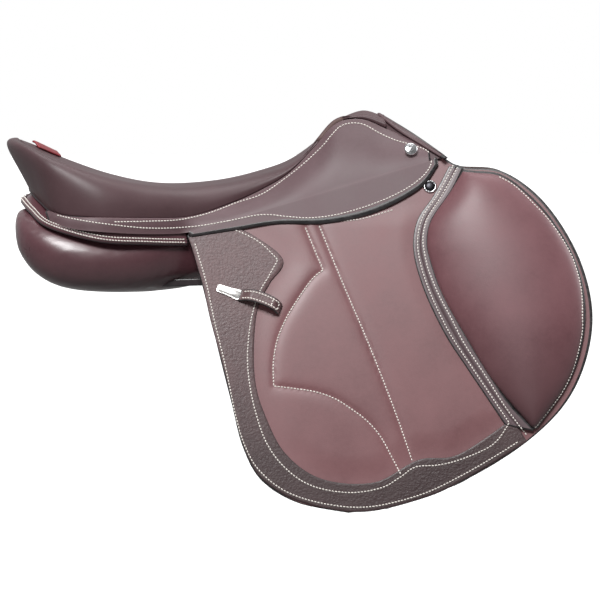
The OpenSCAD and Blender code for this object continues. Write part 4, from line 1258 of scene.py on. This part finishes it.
def make_panel_ridge(name, side, width=7.5, height=2.8):
    """Double-sewn ridge where the panel's gusset meets its main face."""
    t = np.linspace(0, 1, 220)
    top, low = spline(BAND_TOP, t), spline(BAND_LOW, t)
    run = np.gradient(low, axis=0)
    run /= np.linalg.norm(run, axis=1, keepdims=True)
    up = top - low
    up -= run * np.sum(up * run, axis=1, keepdims=True)
    up /= np.linalg.norm(up, axis=1, keepdims=True)
    out = np.cross(run, up)
    out *= np.sign(np.sum(out * (low - (-60, 60, 50)), axis=1, keepdims=True))
    c = np.linspace(-1, 1, 17)[None, :, None]
    # a flat-topped ridge with a groove along its middle
    crown = height * (1 - c**4) - 1.0 * np.exp(-((c / 0.2) ** 2)) + 0.4
    middle = (low + up * 1.5)[:, None]
    base = middle + up[:, None] * c * width / 2
    outer = base + out[:, None] * crown
    ridge = leather_sheet("panel_ridge_" + name, outer, base - out[:, None] * 1.5, side,
                          [PANEL_SKIN, BAND_SKIN, LINING], rim=3)
    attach(ridge, "root")
    thread = Thread("panel_thread_" + name, side, THREAD, pitch=3.4)
    normals = np.repeat(out[:, None], outer.shape[1], axis=1)
    for j in (4, 12):
        thread.row(outer[3:-3, j], normals[3:-3, j])
    thread.make("root")


# ---- CAD pieces that keep their shape -------------------------------------------------------

def finish_kept_nodes():
    """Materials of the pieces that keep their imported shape."""
    for node, obj in frame["nodes"].items():
        base = node.replace("_left", "").replace("_right", "")
        material = KEPT.get(node) or KEPT.get(base)
        if material is None:
            continue
        obj.data.materials.clear()
        obj.data.materials.append(material)


# ---- room -----------------------------------------------------------------------------------


def soft_light(name, place, aim, size, watts):
    """Square area light aimed at a point."""
    data = bpy.data.lights.new(name, "AREA")
    data.energy = watts
    data.size = size
    lamp = bpy.data.objects.new(name, data)
    lamp.location = place
    lamp.rotation_euler = (Vector(aim) - Vector(place)).to_track_quat("-Z", "Y").to_euler()
    bpy.context.scene.collection.objects.link(lamp)


def sky_light(name, direction, strength, spread):
    """Broad even light from a direction."""
    data = bpy.data.lights.new(name, "SUN")
    data.energy = strength
    data.angle = math.radians(spread)
    lamp = bpy.data.objects.new(name, data)
    lamp.rotation_euler = (-Vector(direction)).to_track_quat("-Z", "Y").to_euler()
    bpy.context.scene.collection.objects.link(lamp)


def make_floor():
    """Pale floor, well below the saddle, which hangs clear of it."""
    clearance = 0.26
    low = CAD_BOX[0][2] - clearance
    size = 60.0
    mesh = bpy.data.meshes.new("floor")
    corners = [(-size, -size, low), (size, -size, low), (size, size, low), (-size, size, low)]
    mesh.from_pydata(corners, [], [(0, 1, 2, 3)])
    floor = bpy.data.objects.new("floor", mesh)
    bpy.context.scene.collection.objects.link(floor)
    s = Shader("pale_floor")
    pale = s.blend(s.noise(0.6, 3.0), rgb(0.93, 0.93, 0.93), rgb(0.96, 0.96, 0.96))
    # pale to the camera, but grey to the saddle, so it doesn't light the saddle from below
    direct = s.node("LightPath").outputs["Is Camera Ray"]
    colour = s.blend(direct, rgb(0.22, 0.22, 0.22), pale)
    mesh.materials.append(s.set(colour=colour, rough=0.9, gloss=0.0))


def make_tent():
    """White light tent: bright all round and above, dimmer on the saddle's right, where it is open."""
    world = bpy.data.worlds.new("light_tent")
    bpy.context.scene.world = world
    world.use_nodes = True
    nodes, links = world.node_tree.nodes, world.node_tree.links
    back = nodes["Background"]
    back.inputs["Color"].default_value = rgb(1.0, 1.0, 1.0)
    place = nodes.new("ShaderNodeTexCoord")
    split = nodes.new("ShaderNodeSeparateXYZ")
    links.new(place.outputs["Generated"], split.inputs[0])
    tent = nodes.new("ShaderNodeMapRange")
    links.new(split.outputs["Y"], tent.inputs["Value"])
    for key, value in (("From Min", -0.7), ("From Max", 0.2), ("To Min", 0.14), ("To Max", 0.5)):
        tent.inputs[key].default_value = value
    seen = nodes.new("ShaderNodeLightPath")
    pick = nodes.new("ShaderNodeMix")
    links.new(seen.outputs["Is Camera Ray"], pick.inputs["Factor"])
    links.new(tent.outputs["Result"], pick.inputs[2])
    pick.inputs[3].default_value = 1.0
    links.new(pick.outputs[0], back.inputs["Strength"])


def make_lights():
    """A large key from the saddle's right, a weak light from above and a rim light."""
    sky_light("key", (-0.2, -0.72, 0.8), 3.5, 24)
    sky_light("crown", (0.1, 0.25, 1.0), 1.0, 40)
    soft_light("rim", (2.0, 0.6, 0.9), (0.2, -0.1, 0.0), 1.0, 14)


def make_camera():
    """Long lens level with the saddle's right side."""
    centre = Vector((0.115, -0.12, -0.0173))
    distance = 7.0
    rise = math.radians(2)
    width = 0.69
    data = bpy.data.cameras.new("camera")
    data.sensor_width = 36
    data.lens = 36 * distance / width
    camera = bpy.data.objects.new("camera", data)
    camera.location = centre + Vector((0, -math.cos(rise), math.sin(rise))) * distance
    camera.rotation_euler = (math.pi / 2 - rise, 0, 0)
    bpy.context.scene.collection.objects.link(camera)
    bpy.context.scene.camera = camera


PANEL_SHAPE = panel_shape()
make_seat()
make_tag()
make_welt()
make_facing()
make_pommel_lining()
make_head_cover()
for label, sign in SIDES.items():
    make_skirt(label, sign)
    make_nail(label, sign)
    make_flap(label, sign)
    make_panel(label, sign)
    make_band(label, sign)
    make_panel_ridge(label, sign)
    make_panel_strap(label, sign)
    make_sweat_flap(label, sign)
finish_kept_nodes()
make_floor()
make_tent()
make_lights()
make_camera()
bpy.context.scene.view_settings.view_transform = "Standard"
